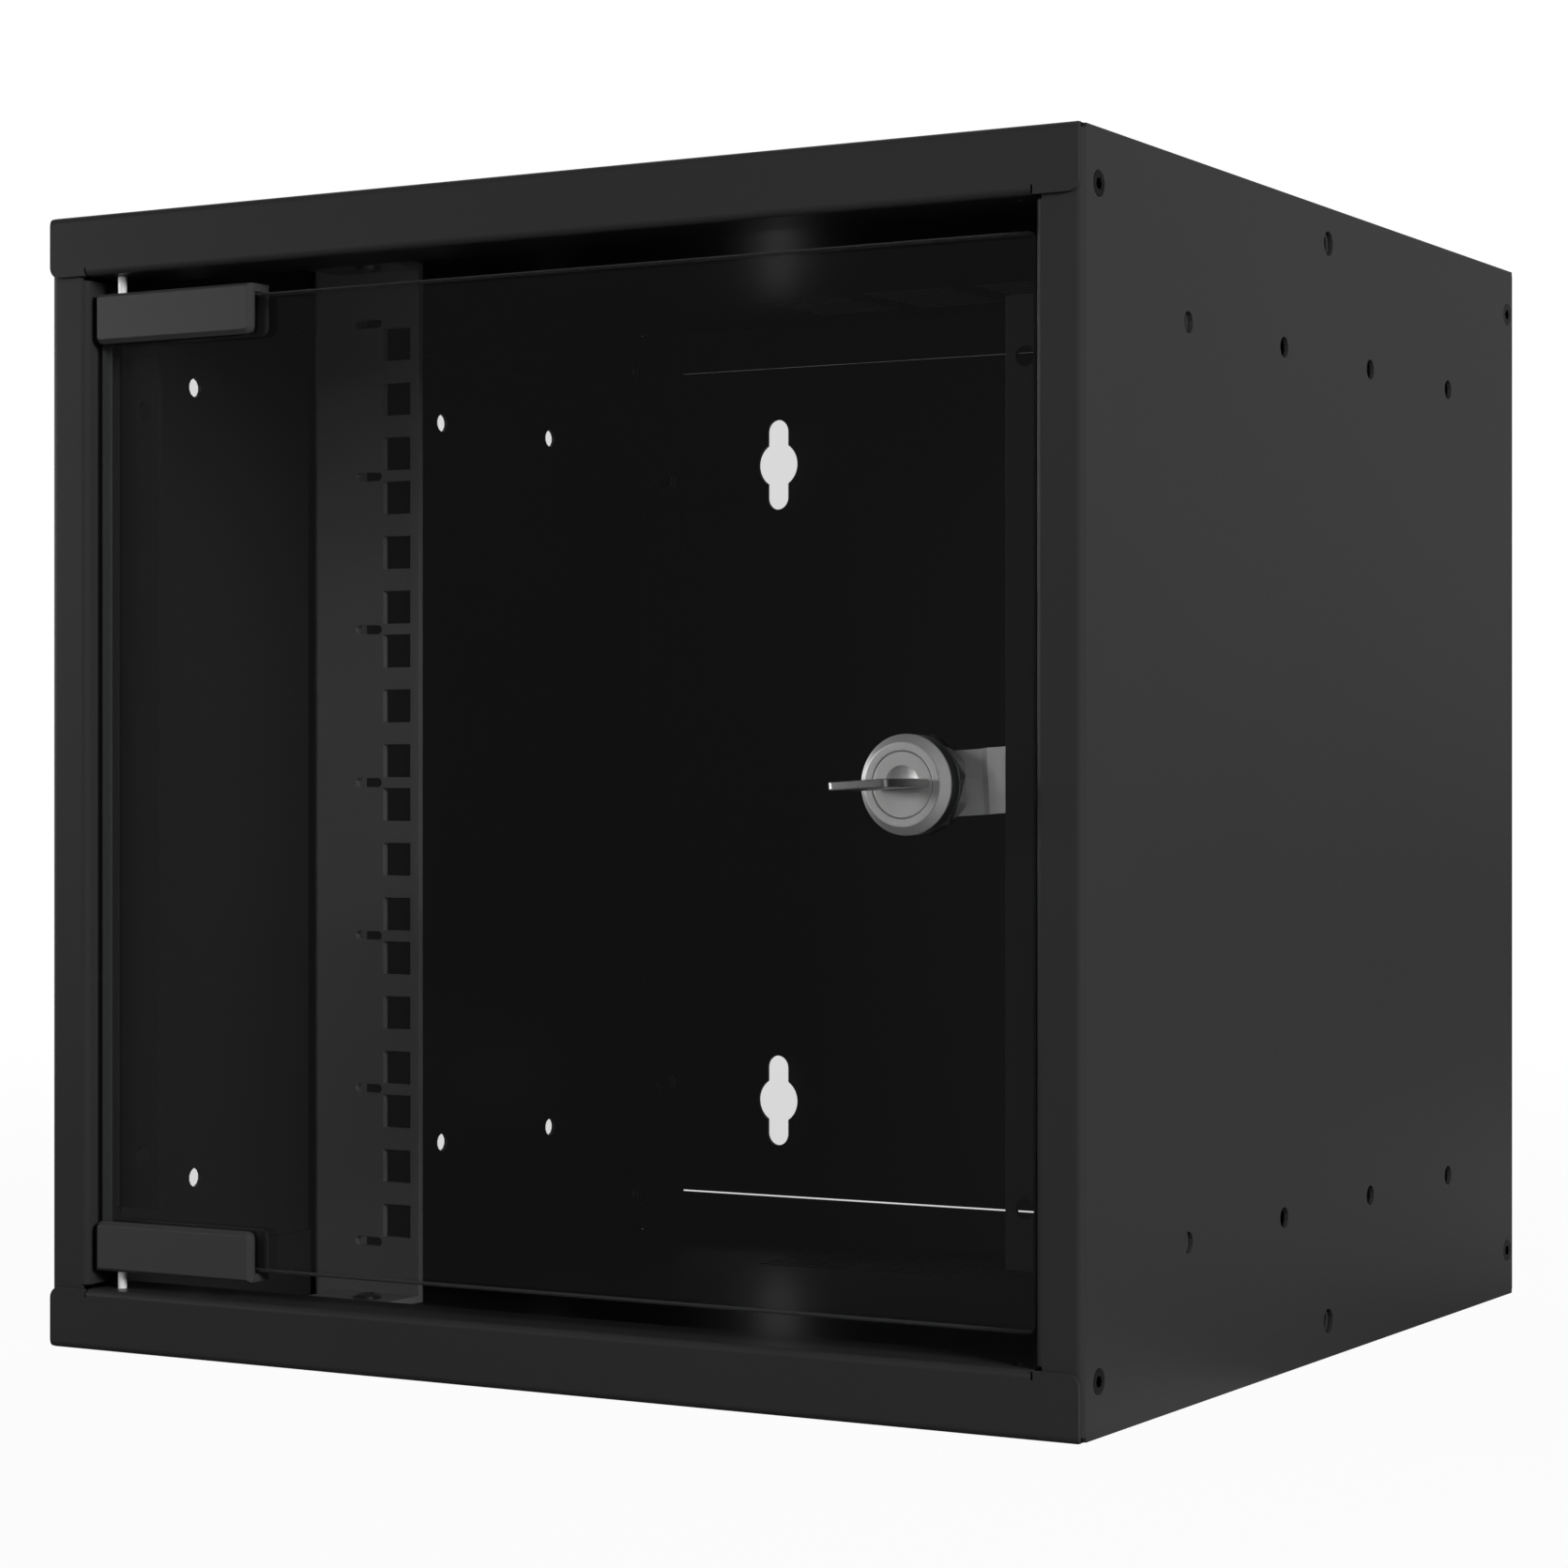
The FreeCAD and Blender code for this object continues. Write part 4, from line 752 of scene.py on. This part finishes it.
def key_loops(front, shoulder, bow_width, blade_width, tip):
    """Outlines of the key: bow, blade with cuts along one edge, and the ring's hole."""
    half = bow_width / 2
    blade = blade_width / 2
    corner = 1.6 * MM
    first_cut = 2.6 * MM
    cut_pitch = 1.8 * MM
    cut_start = 0.7 * MM
    cut_end = 1.1 * MM
    tip_slope = 2.2 * MM
    tip_corner = 0.8 * MM
    ring_radius = 2.25 * MM
    ring_place = 5.5 * MM
    outer = corner_arc(half - corner, front + corner, corner, -90)
    outer += corner_arc(half - corner, shoulder - corner, corner, 0)
    outer += [(blade, shoulder)]
    y = shoulder + first_cut
    for depth in (0.7 * MM, 1.2 * MM, 0.5 * MM, 1.4 * MM, 0.9 * MM):
        outer += [(blade, y), (blade - depth, y + cut_start), (blade - depth, y + cut_end)]
        y += cut_pitch
    outer += [(blade, y), (blade - tip_slope, tip), (-blade + tip_corner, tip),
              (-blade, tip - tip_corner), (-blade, shoulder)]
    outer += corner_arc(-half + corner, shoulder - corner, corner, 90)
    outer += corner_arc(-half + corner, front + corner, corner, 180)
    turns = [math.radians(turn) for turn in range(0, 360, 12)]
    ring = [(ring_radius * math.cos(turn), front + ring_place + ring_radius * math.sin(turn))
            for turn in turns]
    return [outer, ring]


def key_mesh(bow_width, blade_width, thick):
    """The flat key, with rounded corners and broken edges."""
    low, high = (Vector(corner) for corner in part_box("lock_key"))
    gap = 0.4 * MM
    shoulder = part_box("lock_plug")[0][1] - PANE_FRONT_Y - gap
    loops = key_loops(low.y - PANE_FRONT_Y, shoulder, bow_width, blade_width,
                      high.y - PANE_FRONT_Y)
    mesh = outline_plate("key_body", loops, thick, bevel=0.3 * MM)
    mesh.transform(Matrix.Translation((LOCK_X, PANE_FRONT_Y, LOCK_Z))
                   @ Matrix.Rotation(LOCK_TILT, 4, "Y"))
    return mesh


# ---------------------------------------------------------------- user settings


class CabinetFinish(bpy.types.PropertyGroup):
    """Colours and grain of the coats."""

    coat_level: FloatProperty(
        name="Coat", description="Brightness of the case's powder coat", default=0.0165,
        min=0.0, max=1.0, subtype="FACTOR")
    # The rails' level is set lighter than their grey coat: painted light, so that they read as
    # brightly lit inside the case
    rail_level_painted_light: FloatProperty(
        name="Rails", description="Brightness of the rails' coat", default=0.15,
        min=0.0, max=1.0, subtype="FACTOR")
    clip_level: FloatProperty(
        name="Clips", description="Brightness of the clips' coat", default=0.024,
        min=0.0, max=1.0, subtype="FACTOR")
    coat_roughness: FloatProperty(
        name="Roughness", description="Roughness of the powder coat", default=0.36,
        min=0.0, max=1.0, subtype="FACTOR")
    grain_scale: FloatProperty(
        name="Grain", description="Grains of the powder coat to the metre", default=1500.0, min=1.0)
    grain_height: FloatProperty(
        name="Grain height", description="Height of the coat's orange peel", default=0.012 * MM,
        unit="LENGTH", precision=6)


class CabinetGlass(bpy.types.PropertyGroup):
    """The pane."""

    tint: FloatVectorProperty(
        name="Tint", description="Light that one face of the pane lets through", subtype="COLOR",
        default=(0.862, 0.866, 0.862), min=0.0, max=1.0)
    edge: FloatVectorProperty(
        name="Edge", description="Colour of the ground edges", subtype="COLOR",
        default=(0.028, 0.03, 0.029), min=0.0, max=1.0)


class CabinetFasteners(bpy.types.PropertyGroup):
    """Screws and press nuts."""

    head_radius: FloatProperty(
        name="Sunk head", description="Radius of a countersunk head", default=3.15 * MM,
        unit="LENGTH", precision=5)
    sheet: FloatProperty(
        name="Sheet", description="Thickness that a countersunk head fills", default=1.2 * MM,
        unit="LENGTH", precision=5)
    shank_radius: FloatProperty(
        name="Shank", description="Radius of a screw's shank", default=1.95 * MM, unit="LENGTH",
        precision=5)
    screw_length: FloatProperty(
        name="Length", description="Countersunk screw over its head", default=5.2 * MM,
        unit="LENGTH", precision=5)
    nut_radius: FloatProperty(
        name="Nut", description="Radius of a press nut", default=3.7 * MM, unit="LENGTH",
        precision=5)
    nut_height: FloatProperty(
        name="Nut height", description="Height of a press nut", default=2.6 * MM, unit="LENGTH",
        precision=5)
    pan_radius: FloatProperty(
        name="Pan head", description="Radius of a rail screw's head", default=3.6 * MM,
        unit="LENGTH", precision=5)
    pan_height: FloatProperty(
        name="Pan height", description="Height of a rail screw's head", default=1.6 * MM,
        unit="LENGTH", precision=5)


class CabinetKey(bpy.types.PropertyGroup):
    """The flat key."""

    bow_width: FloatProperty(
        name="Bow", description="Width of the key's bow", default=15.8 * MM, unit="LENGTH",
        precision=5)
    blade_width: FloatProperty(
        name="Blade", description="Width of the key's blade", default=8.2 * MM, unit="LENGTH",
        precision=5)
    thick: FloatProperty(
        name="Thickness", description="Thickness of the key", default=2.0 * MM, unit="LENGTH",
        precision=5)


class CabinetThread(bpy.types.PropertyGroup):
    """The lock barrel's thread."""

    pitch: FloatProperty(
        name="Pitch", description="One ridge to the next", default=1.0 * MM, unit="LENGTH",
        precision=5)
    height: FloatProperty(
        name="Height", description="Height of a ridge", default=0.3 * MM, unit="LENGTH",
        precision=5)
    count: IntProperty(
        name="Ridges", description="Ridges behind the nut", default=7, min=1, max=60)
    nut_turn: FloatProperty(
        name="Nut turn", description="How far the nut is turned from its first corner",
        subtype="ANGLE", unit="ROTATION", default=math.radians(8.0))


class CabinetStage(bpy.types.PropertyGroup):
    """Floor, light and camera."""

    floor_level: FloatProperty(
        name="Floor", description="Brightness of the floor", default=0.4,
        min=0.0, max=1.0, subtype="FACTOR")
    floor_white: FloatProperty(
        name="Floor white", description="Share of plain white on the floor by the cabinet",
        default=0.95, min=0.0, max=1.0, subtype="FACTOR")
    ambient: FloatProperty(
        name="Ambient", description="Strength of the room's soft light", default=0.1, min=0.0)
    front_glow: FloatProperty(
        name="Front glow", description="Brightness that mirrors meet in front of the cabinet",
        default=0.08, min=0.0, max=1.0, subtype="FACTOR")
    left_lamp: FloatProperty(
        name="Left lamp", description="Power of the lamp at the left", default=7.0,
        min=0.0, unit="POWER")
    right_lamp: FloatProperty(
        name="Right lamp", description="Power of the lamp at the right", default=58.0,
        min=0.0, unit="POWER")
    front_lamp: FloatProperty(
        name="Front lamp", description="Power of the soft lamp in front", default=8.5,
        min=0.0, unit="POWER")
    rear_lamp: FloatProperty(
        name="Rear lamp", description="Power of the soft lamp behind", default=26.0,
        min=0.0, unit="POWER")
    overhead: FloatProperty(
        name="Overhead", description="Power of the soft lamp above", default=4.0, min=0.0,
        unit="POWER")
    camera_place: FloatVectorProperty(
        name="Camera", description="Where the camera stands", subtype="XYZ", unit="LENGTH",
        default=(0.5249, -0.9325, 0.1515))
    camera_turn: FloatProperty(
        name="Turn", description="Camera's turn about the vertical", subtype="ANGLE",
        unit="ROTATION", default=math.radians(29.9))
    lens: FloatProperty(
        name="Lens", description="Focal length in millimetres", default=86.85, min=1.0,
        unit="CAMERA")


# ---------------------------------------------------------------- operators


class CABINET_OT_case(bpy.types.Operator):
    """Coat the case and its rails"""

    bl_idname = "cabinet.case"
    bl_label = "Case and rails"

    def execute(self, context):
        finish = context.scene.cabinet_finish
        coat = powder_coat("case_coat", finish.coat_level, (0.0, 0.0, 0.0004), finish.coat_roughness,
                           finish.grain_scale, finish.grain_height, specular=0.1)
        dress(CASE_NODES, coat)
        # The rails' coat is raised above its own grey: painted light inside the case
        rail = powder_coat("rail_coat", finish.rail_level_painted_light, (0.0, 0.0, 0.0003),
                           finish.coat_roughness + 0.03, finish.grain_scale, finish.grain_height,
                           specular=0.3)
        dress(RAIL_NODES, rail)
        return {"FINISHED"}


class CABINET_OT_fasteners(bpy.types.Operator):
    """Make the screws and press nuts"""

    bl_idname = "cabinet.fasteners"
    bl_label = "Fasteners"

    def execute(self, context):
        sizes = context.scene.cabinet_fasteners
        # The screws' black is set darker than blackened steel: partly their own black, partly painted
        # shade standing for the dark of their holes
        black = plated_steel("blackened_steel", level=0.004, tint=(0.0, 0.0, 0.0005),
                             roughness=0.42, metallic=0.9)
        zinc = plated_steel("zinc_plate", level=0.52, tint=(0.0, 0.004, 0.012), roughness=0.3)
        head, shank = sizes.head_radius, sizes.shank_radius
        play = 0.1 * MM
        screw = sunk_screw(head, sizes.sheet, sizes.screw_length, shank)
        nut = press_nut(sizes.nut_radius, shank + play, sizes.nut_height)
        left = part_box("side_screws_left")[0][0]
        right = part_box("side_screws_right")[1][0]
        fasten("side_screws_left", screw, head, [((-1, 0, 0), left)], black)
        fasten("side_screws_right", screw, head, [((1, 0, 0), right)], black)
        fasten("back_screws", screw, head, [((0, 1, 0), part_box("back_screws")[1][1])], black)
        fasten("back_nuts", nut, sizes.nut_radius, [((0, -1, 0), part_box("back_nuts")[1][1])],
               zinc)
        for node in ("tray_nuts_bottom", "tray_nuts_top"):
            low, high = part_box(node)
            fasten(node, nut, sizes.nut_radius, [((1, 0, 0), low[0]), ((-1, 0, 0), high[0])],
                   zinc)
        pan = pan_screw(sizes.pan_radius, sizes.pan_height, shank, length=3.0 * MM)
        floor, roof = (corner[2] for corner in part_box("rail_left"))
        tab = 2.0 * MM
        fasten("rail_screws", pan, sizes.pan_radius,
               [((0, 0, 1), floor + tab), ((0, 0, -1), roof - tab)], zinc)
        grub_radius = 1.9 * MM
        grub = set_screw(grub_radius, length=2.45 * MM)
        for node in ("clip_screws_bottom", "clip_screws_top"):
            fasten(node, grub, grub_radius, [((0, 1, 0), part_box(node)[1][1])], black,
                   "door")
        return {"FINISHED"}


class CABINET_OT_door(bpy.types.Operator):
    """Glaze the door and coat its clips"""

    bl_idname = "cabinet.door"
    bl_label = "Door"

    def execute(self, context):
        finish = context.scene.cabinet_finish
        glass = context.scene.cabinet_glass
        dress(("glass_pane",), toughened_glass("pane_glass", (*glass.tint, 1.0), (*glass.edge, 1.0)))
        clip = powder_coat("clip_coat", finish.clip_level, (0.0, 0.0, 0.0005), roughness=0.4,
                           grain_scale=finish.grain_scale * 1.3,
                           grain_height=finish.grain_height * 0.7, specular=0.25)
        dress(CLIP_NODES, clip)
        dress(LINER_NODES, soft_strip("liner_rubber", level=0.008))
        # The pin is nearly white and only partly metallic: a painted highlight standing for the bright
        # reflection of a polished steel pin
        pin = drawn_steel("pin_steel", level=0.92, tint=(0.0, 0.0, 0.0), roughness=0.3,
                          stretch=(300, 300, 3000), metallic=0.4)
        dress(PIN_NODES, pin)
        return {"FINISHED"}


class CABINET_OT_lock(bpy.types.Operator):
    """Make the lock and its key, thread the barrel and finish the cam"""

    bl_idname = "cabinet.lock"
    bl_label = "Lock"

    def execute(self, context):
        thread = context.scene.cabinet_thread
        key = context.scene.cabinet_key
        nickel = turned_plating("lock_nickel", level=0.82, tint=(0.004, 0.002, 0.0),
                                roughness=0.5, metallic=0.96)
        nut_steel = plated_steel("nut_steel", level=0.24, tint=(0.003, 0.001, 0.0), roughness=0.34)
        # The cam is nearly white and all but non-metallic: a painted highlight that stands for the
        # bright reflection of a lit plated cam
        cam_steel = drawn_steel("cam_steel", level=0.9, tint=(0.0, 0.001, 0.003), roughness=0.45,
                                stretch=(350, 350, 2600), metallic=0.05)
        key_steel = drawn_steel("key_steel", level=0.74, tint=(0.006, 0.004, 0.0), roughness=0.34,
                                stretch=(2600, 350, 350))
        zinc = bpy.data.materials["zinc_plate"]
        head, seed = lock_head(thread)
        ridges = run_nodes(seed, thread_tree(), {
            "Count": thread.count, "Pitch": thread.pitch, "Material": nickel})
        last_ridge = -14.6 * MM
        ridges.transform(Matrix.Translation((0.0, 0.0, last_ridge)))
        play = 0.2 * MM
        plug = lock_plug(key.blade_width + play, key.thick + play)
        pieces = (
            ("lock_head", head, "door", nickel, "lock_chrome", ("lock_housing",)),
            ("barrel_thread", seat_on_lock(ridges), "door", nickel, "lock_chrome", ()),
            ("lock_plug_front", plug, "lock", nickel, "lock_chrome", ("lock_plug",)),
            ("lock_nut_thin", lock_nut_mesh(thread.nut_turn), "door", nut_steel, "nut_steel",
             ("lock_nut",)),
            ("key", key_mesh(key.bow_width, key.blade_width, key.thick), "key", key_steel,
             "key_steel", ("lock_key",)),
        )
        for name, mesh, body, material, record_slot, replaced in pieces:
            piece = link_mesh(name, mesh, body, material)
            if replaced:
                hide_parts(*replaced)
        dress(("lock_cam",), cam_steel)
        dress(("lock_washer", "cam_washer", "cam_screw"), zinc)
        return {"FINISHED"}


# ---------------------------------------------------------------- stage


def ray_kinds(tree):
    """Two switches: rays that are seen or go on through glass, and rays off a mirror."""
    path = tree.add("ShaderNodeLightPath")
    camera = Value(tree, path.outputs["Is Camera Ray"])
    through = Value(tree, path.outputs["Is Transmission Ray"])
    return (camera + through).at_most(1.0), Value(tree, path.outputs["Is Glossy Ray"])


def ramp(value, start, run):
    """0 up to the start, then up to 1 over the run."""
    return ((value - start) / run).at_least(0.0).at_most(1.0)


def room_glow(right, back, dim):
    """What a mirror meets: white behind the cabinet, a pale screen at the right, dim elsewhere."""
    screen_turn = math.radians(62.0)
    screen_level = 0.3
    behind = ramp(back, start=0.1, run=0.4)
    aside = ramp(right, start=0.0, run=0.4)
    reach = (right * right + back * back) ** 0.5
    toward = (right * math.sin(screen_turn) - back * math.cos(screen_turn)) / reach.at_least(0.001)
    screen = ramp(toward, start=0.94, run=0.05)
    return dim + behind * (1.0 - aside) * (1.0 - dim) + screen * screen_level


def area_light(name, azimuth, elevation, distance, size, power):
    """One soft square lamp that faces the cabinet's middle; azimuth 0 is in front of it."""
    data = bpy.data.lights.new(name, "AREA")
    data.size = size
    data.energy = power
    lamp = bpy.data.objects.new(name, data)
    bpy.context.scene.collection.objects.link(lamp)
    turn, rise = math.radians(azimuth), math.radians(elevation)
    away = Vector((math.sin(turn) * math.cos(rise), -math.cos(turn) * math.cos(rise), math.sin(rise)))
    lamp.location = LAMP_AIM + away * distance
    lamp.rotation_euler = away.to_track_quat("Z", "Y").to_euler()
    return lamp


class CABINET_OT_stage(bpy.types.Operator):
    """Set up floor, light, world and camera"""

    bl_idname = "cabinet.stage"
    bl_label = "Stage"

    def execute(self, context):
        stage = context.scene.cabinet_stage
        scene = context.scene
        scene.view_settings.view_transform = "Standard"
        self.make_floor(stage)
        self.make_world(stage)
        for name, (azimuth, elevation, distance, size, mirrors) in LAMPS.items():
            lamp = area_light(name, azimuth, elevation, distance, size, getattr(stage, name))
            lamp.visible_glossy = mirrors
        camera = bpy.data.objects.new("camera", bpy.data.cameras.new("camera"))
        scene.collection.objects.link(camera)
        camera.data.lens = stage.lens
        camera.data.sensor_width = SENSOR_WIDTH
        camera.data.shift_y = FRAME_SHIFT
        camera.location = stage.camera_place
        camera.rotation_euler = (math.radians(90.0), 0.0, stage.camera_turn)
        scene.camera = camera
        return {"FINISHED"}

    @staticmethod
    def make_floor(stage):
        """A wide pale floor that keeps the cabinet's shadow and turns white further out."""
        mesh = bpy.data.meshes.new("floor")
        half = 12.0
        corners = [(-half, -half, 0.0), (half, -half, 0.0), (half, half, 0.0), (-half, half, 0.0)]
        mesh.from_pydata(corners, [], [(0, 1, 2, 3)])
        floor = bpy.data.objects.new("floor", mesh)
        bpy.context.scene.collection.objects.link(floor)
        material, tree, shader, output = new_material("floor_paper")
        point = tree.object_point()
        x, y, _ = tree.parts_of(point)
        grain = tree.noise(point, 300.0)
        pale = stage.floor_level
        tree.feed(shader.inputs["Base Color"],
                  tree.blend_colours(grain, grey(pale * 0.99), grey(pale)))
        shader.inputs["Roughness"].default_value = 0.9
        shader.inputs["Specular IOR Level"].default_value = 0.1
        seen, glossy = ray_kinds(tree)
        far = ramp((x * x + y * y) ** 0.5, start=0.35, run=0.9)
        glow = tree.add("ShaderNodeEmission")
        glow.inputs["Color"].default_value = WHITE
        tree.feed(glow.inputs["Strength"], seen + (1.0 - seen) * room_glow(x, y, stage.front_glow))
        share = (seen * (stage.floor_white + far * (1.0 - stage.floor_white)) + glossy).at_most(1.0)
        whole = tree.mix_shaders(share, shader, glow)
        tree.node_tree.links.new(whole.outputs[0], output.inputs["Surface"])
        mesh.materials.append(material)

    @staticmethod
    def make_world(stage):
        """White where it is seen, the room's glow in mirrors, and soft light everywhere else."""
        world = bpy.data.worlds.new("studio")
        bpy.context.scene.world = world
        world.use_nodes = True
        world.node_tree.nodes.clear()
        tree = Tree(world.node_tree)
        output = tree.add("ShaderNodeOutputWorld")
        backdrop = tree.add("ShaderNodeBackground")
        seen, glossy = ray_kinds(tree)
        right, back, _ = tree.parts_of(tree.node("ShaderNodeTexCoord", output="Generated"))
        room = glossy * room_glow(right, back, stage.front_glow) + (1.0 - glossy) * stage.ambient
        backdrop.inputs["Color"].default_value = WHITE
        tree.feed(backdrop.inputs["Strength"], seen + (1.0 - seen) * room)
        tree.node_tree.links.new(backdrop.outputs[0], output.inputs["Surface"])


class CABINET_PT_panel(bpy.types.Panel):
    """Buttons and sizes for the cabinet"""

    bl_idname = "CABINET_PT_panel"
    bl_label = "Network Cabinet"
    bl_space_type = "VIEW_3D"
    bl_region_type = "UI"
    bl_category = "Cabinet"

    def draw(self, context):
        layout = self.layout
        for operator in OPERATORS:
            layout.operator(operator.bl_idname, text=operator.bl_label)
        for name, group in SETTINGS:
            settings = getattr(context.scene, name)
            box = layout.box()
            for field in group.__annotations__:
                box.prop(settings, field)


SETTINGS = (
    ("cabinet_finish", CabinetFinish),
    ("cabinet_glass", CabinetGlass),
    ("cabinet_fasteners", CabinetFasteners),
    ("cabinet_key", CabinetKey),
    ("cabinet_thread", CabinetThread),
    ("cabinet_stage", CabinetStage),
)
OPERATORS = (
    CABINET_OT_case,
    CABINET_OT_fasteners,
    CABINET_OT_door,
    CABINET_OT_lock,
    CABINET_OT_stage,
)
CLASSES = tuple(group for _, group in SETTINGS) + OPERATORS + (CABINET_PT_panel,)


def register():
    """Register the classes and hang the settings on the scene."""
    for cls in CLASSES:
        bpy.utils.register_class(cls)
    for name, group in SETTINGS:
        setattr(bpy.types.Scene, name, PointerProperty(type=group))


def unregister():
    """Undo register."""
    for name, _ in reversed(SETTINGS):
        delattr(bpy.types.Scene, name)
    for cls in reversed(CLASSES):
        bpy.utils.unregister_class(cls)


def main():
    """Register the classes, dress the cabinet and set up its stage."""
    register()
    bpy.ops.cabinet.case()
    bpy.ops.cabinet.fasteners()
    bpy.ops.cabinet.door()
    bpy.ops.cabinet.lock()
    bpy.ops.cabinet.stage()


if __name__ == "__main__":
    main()
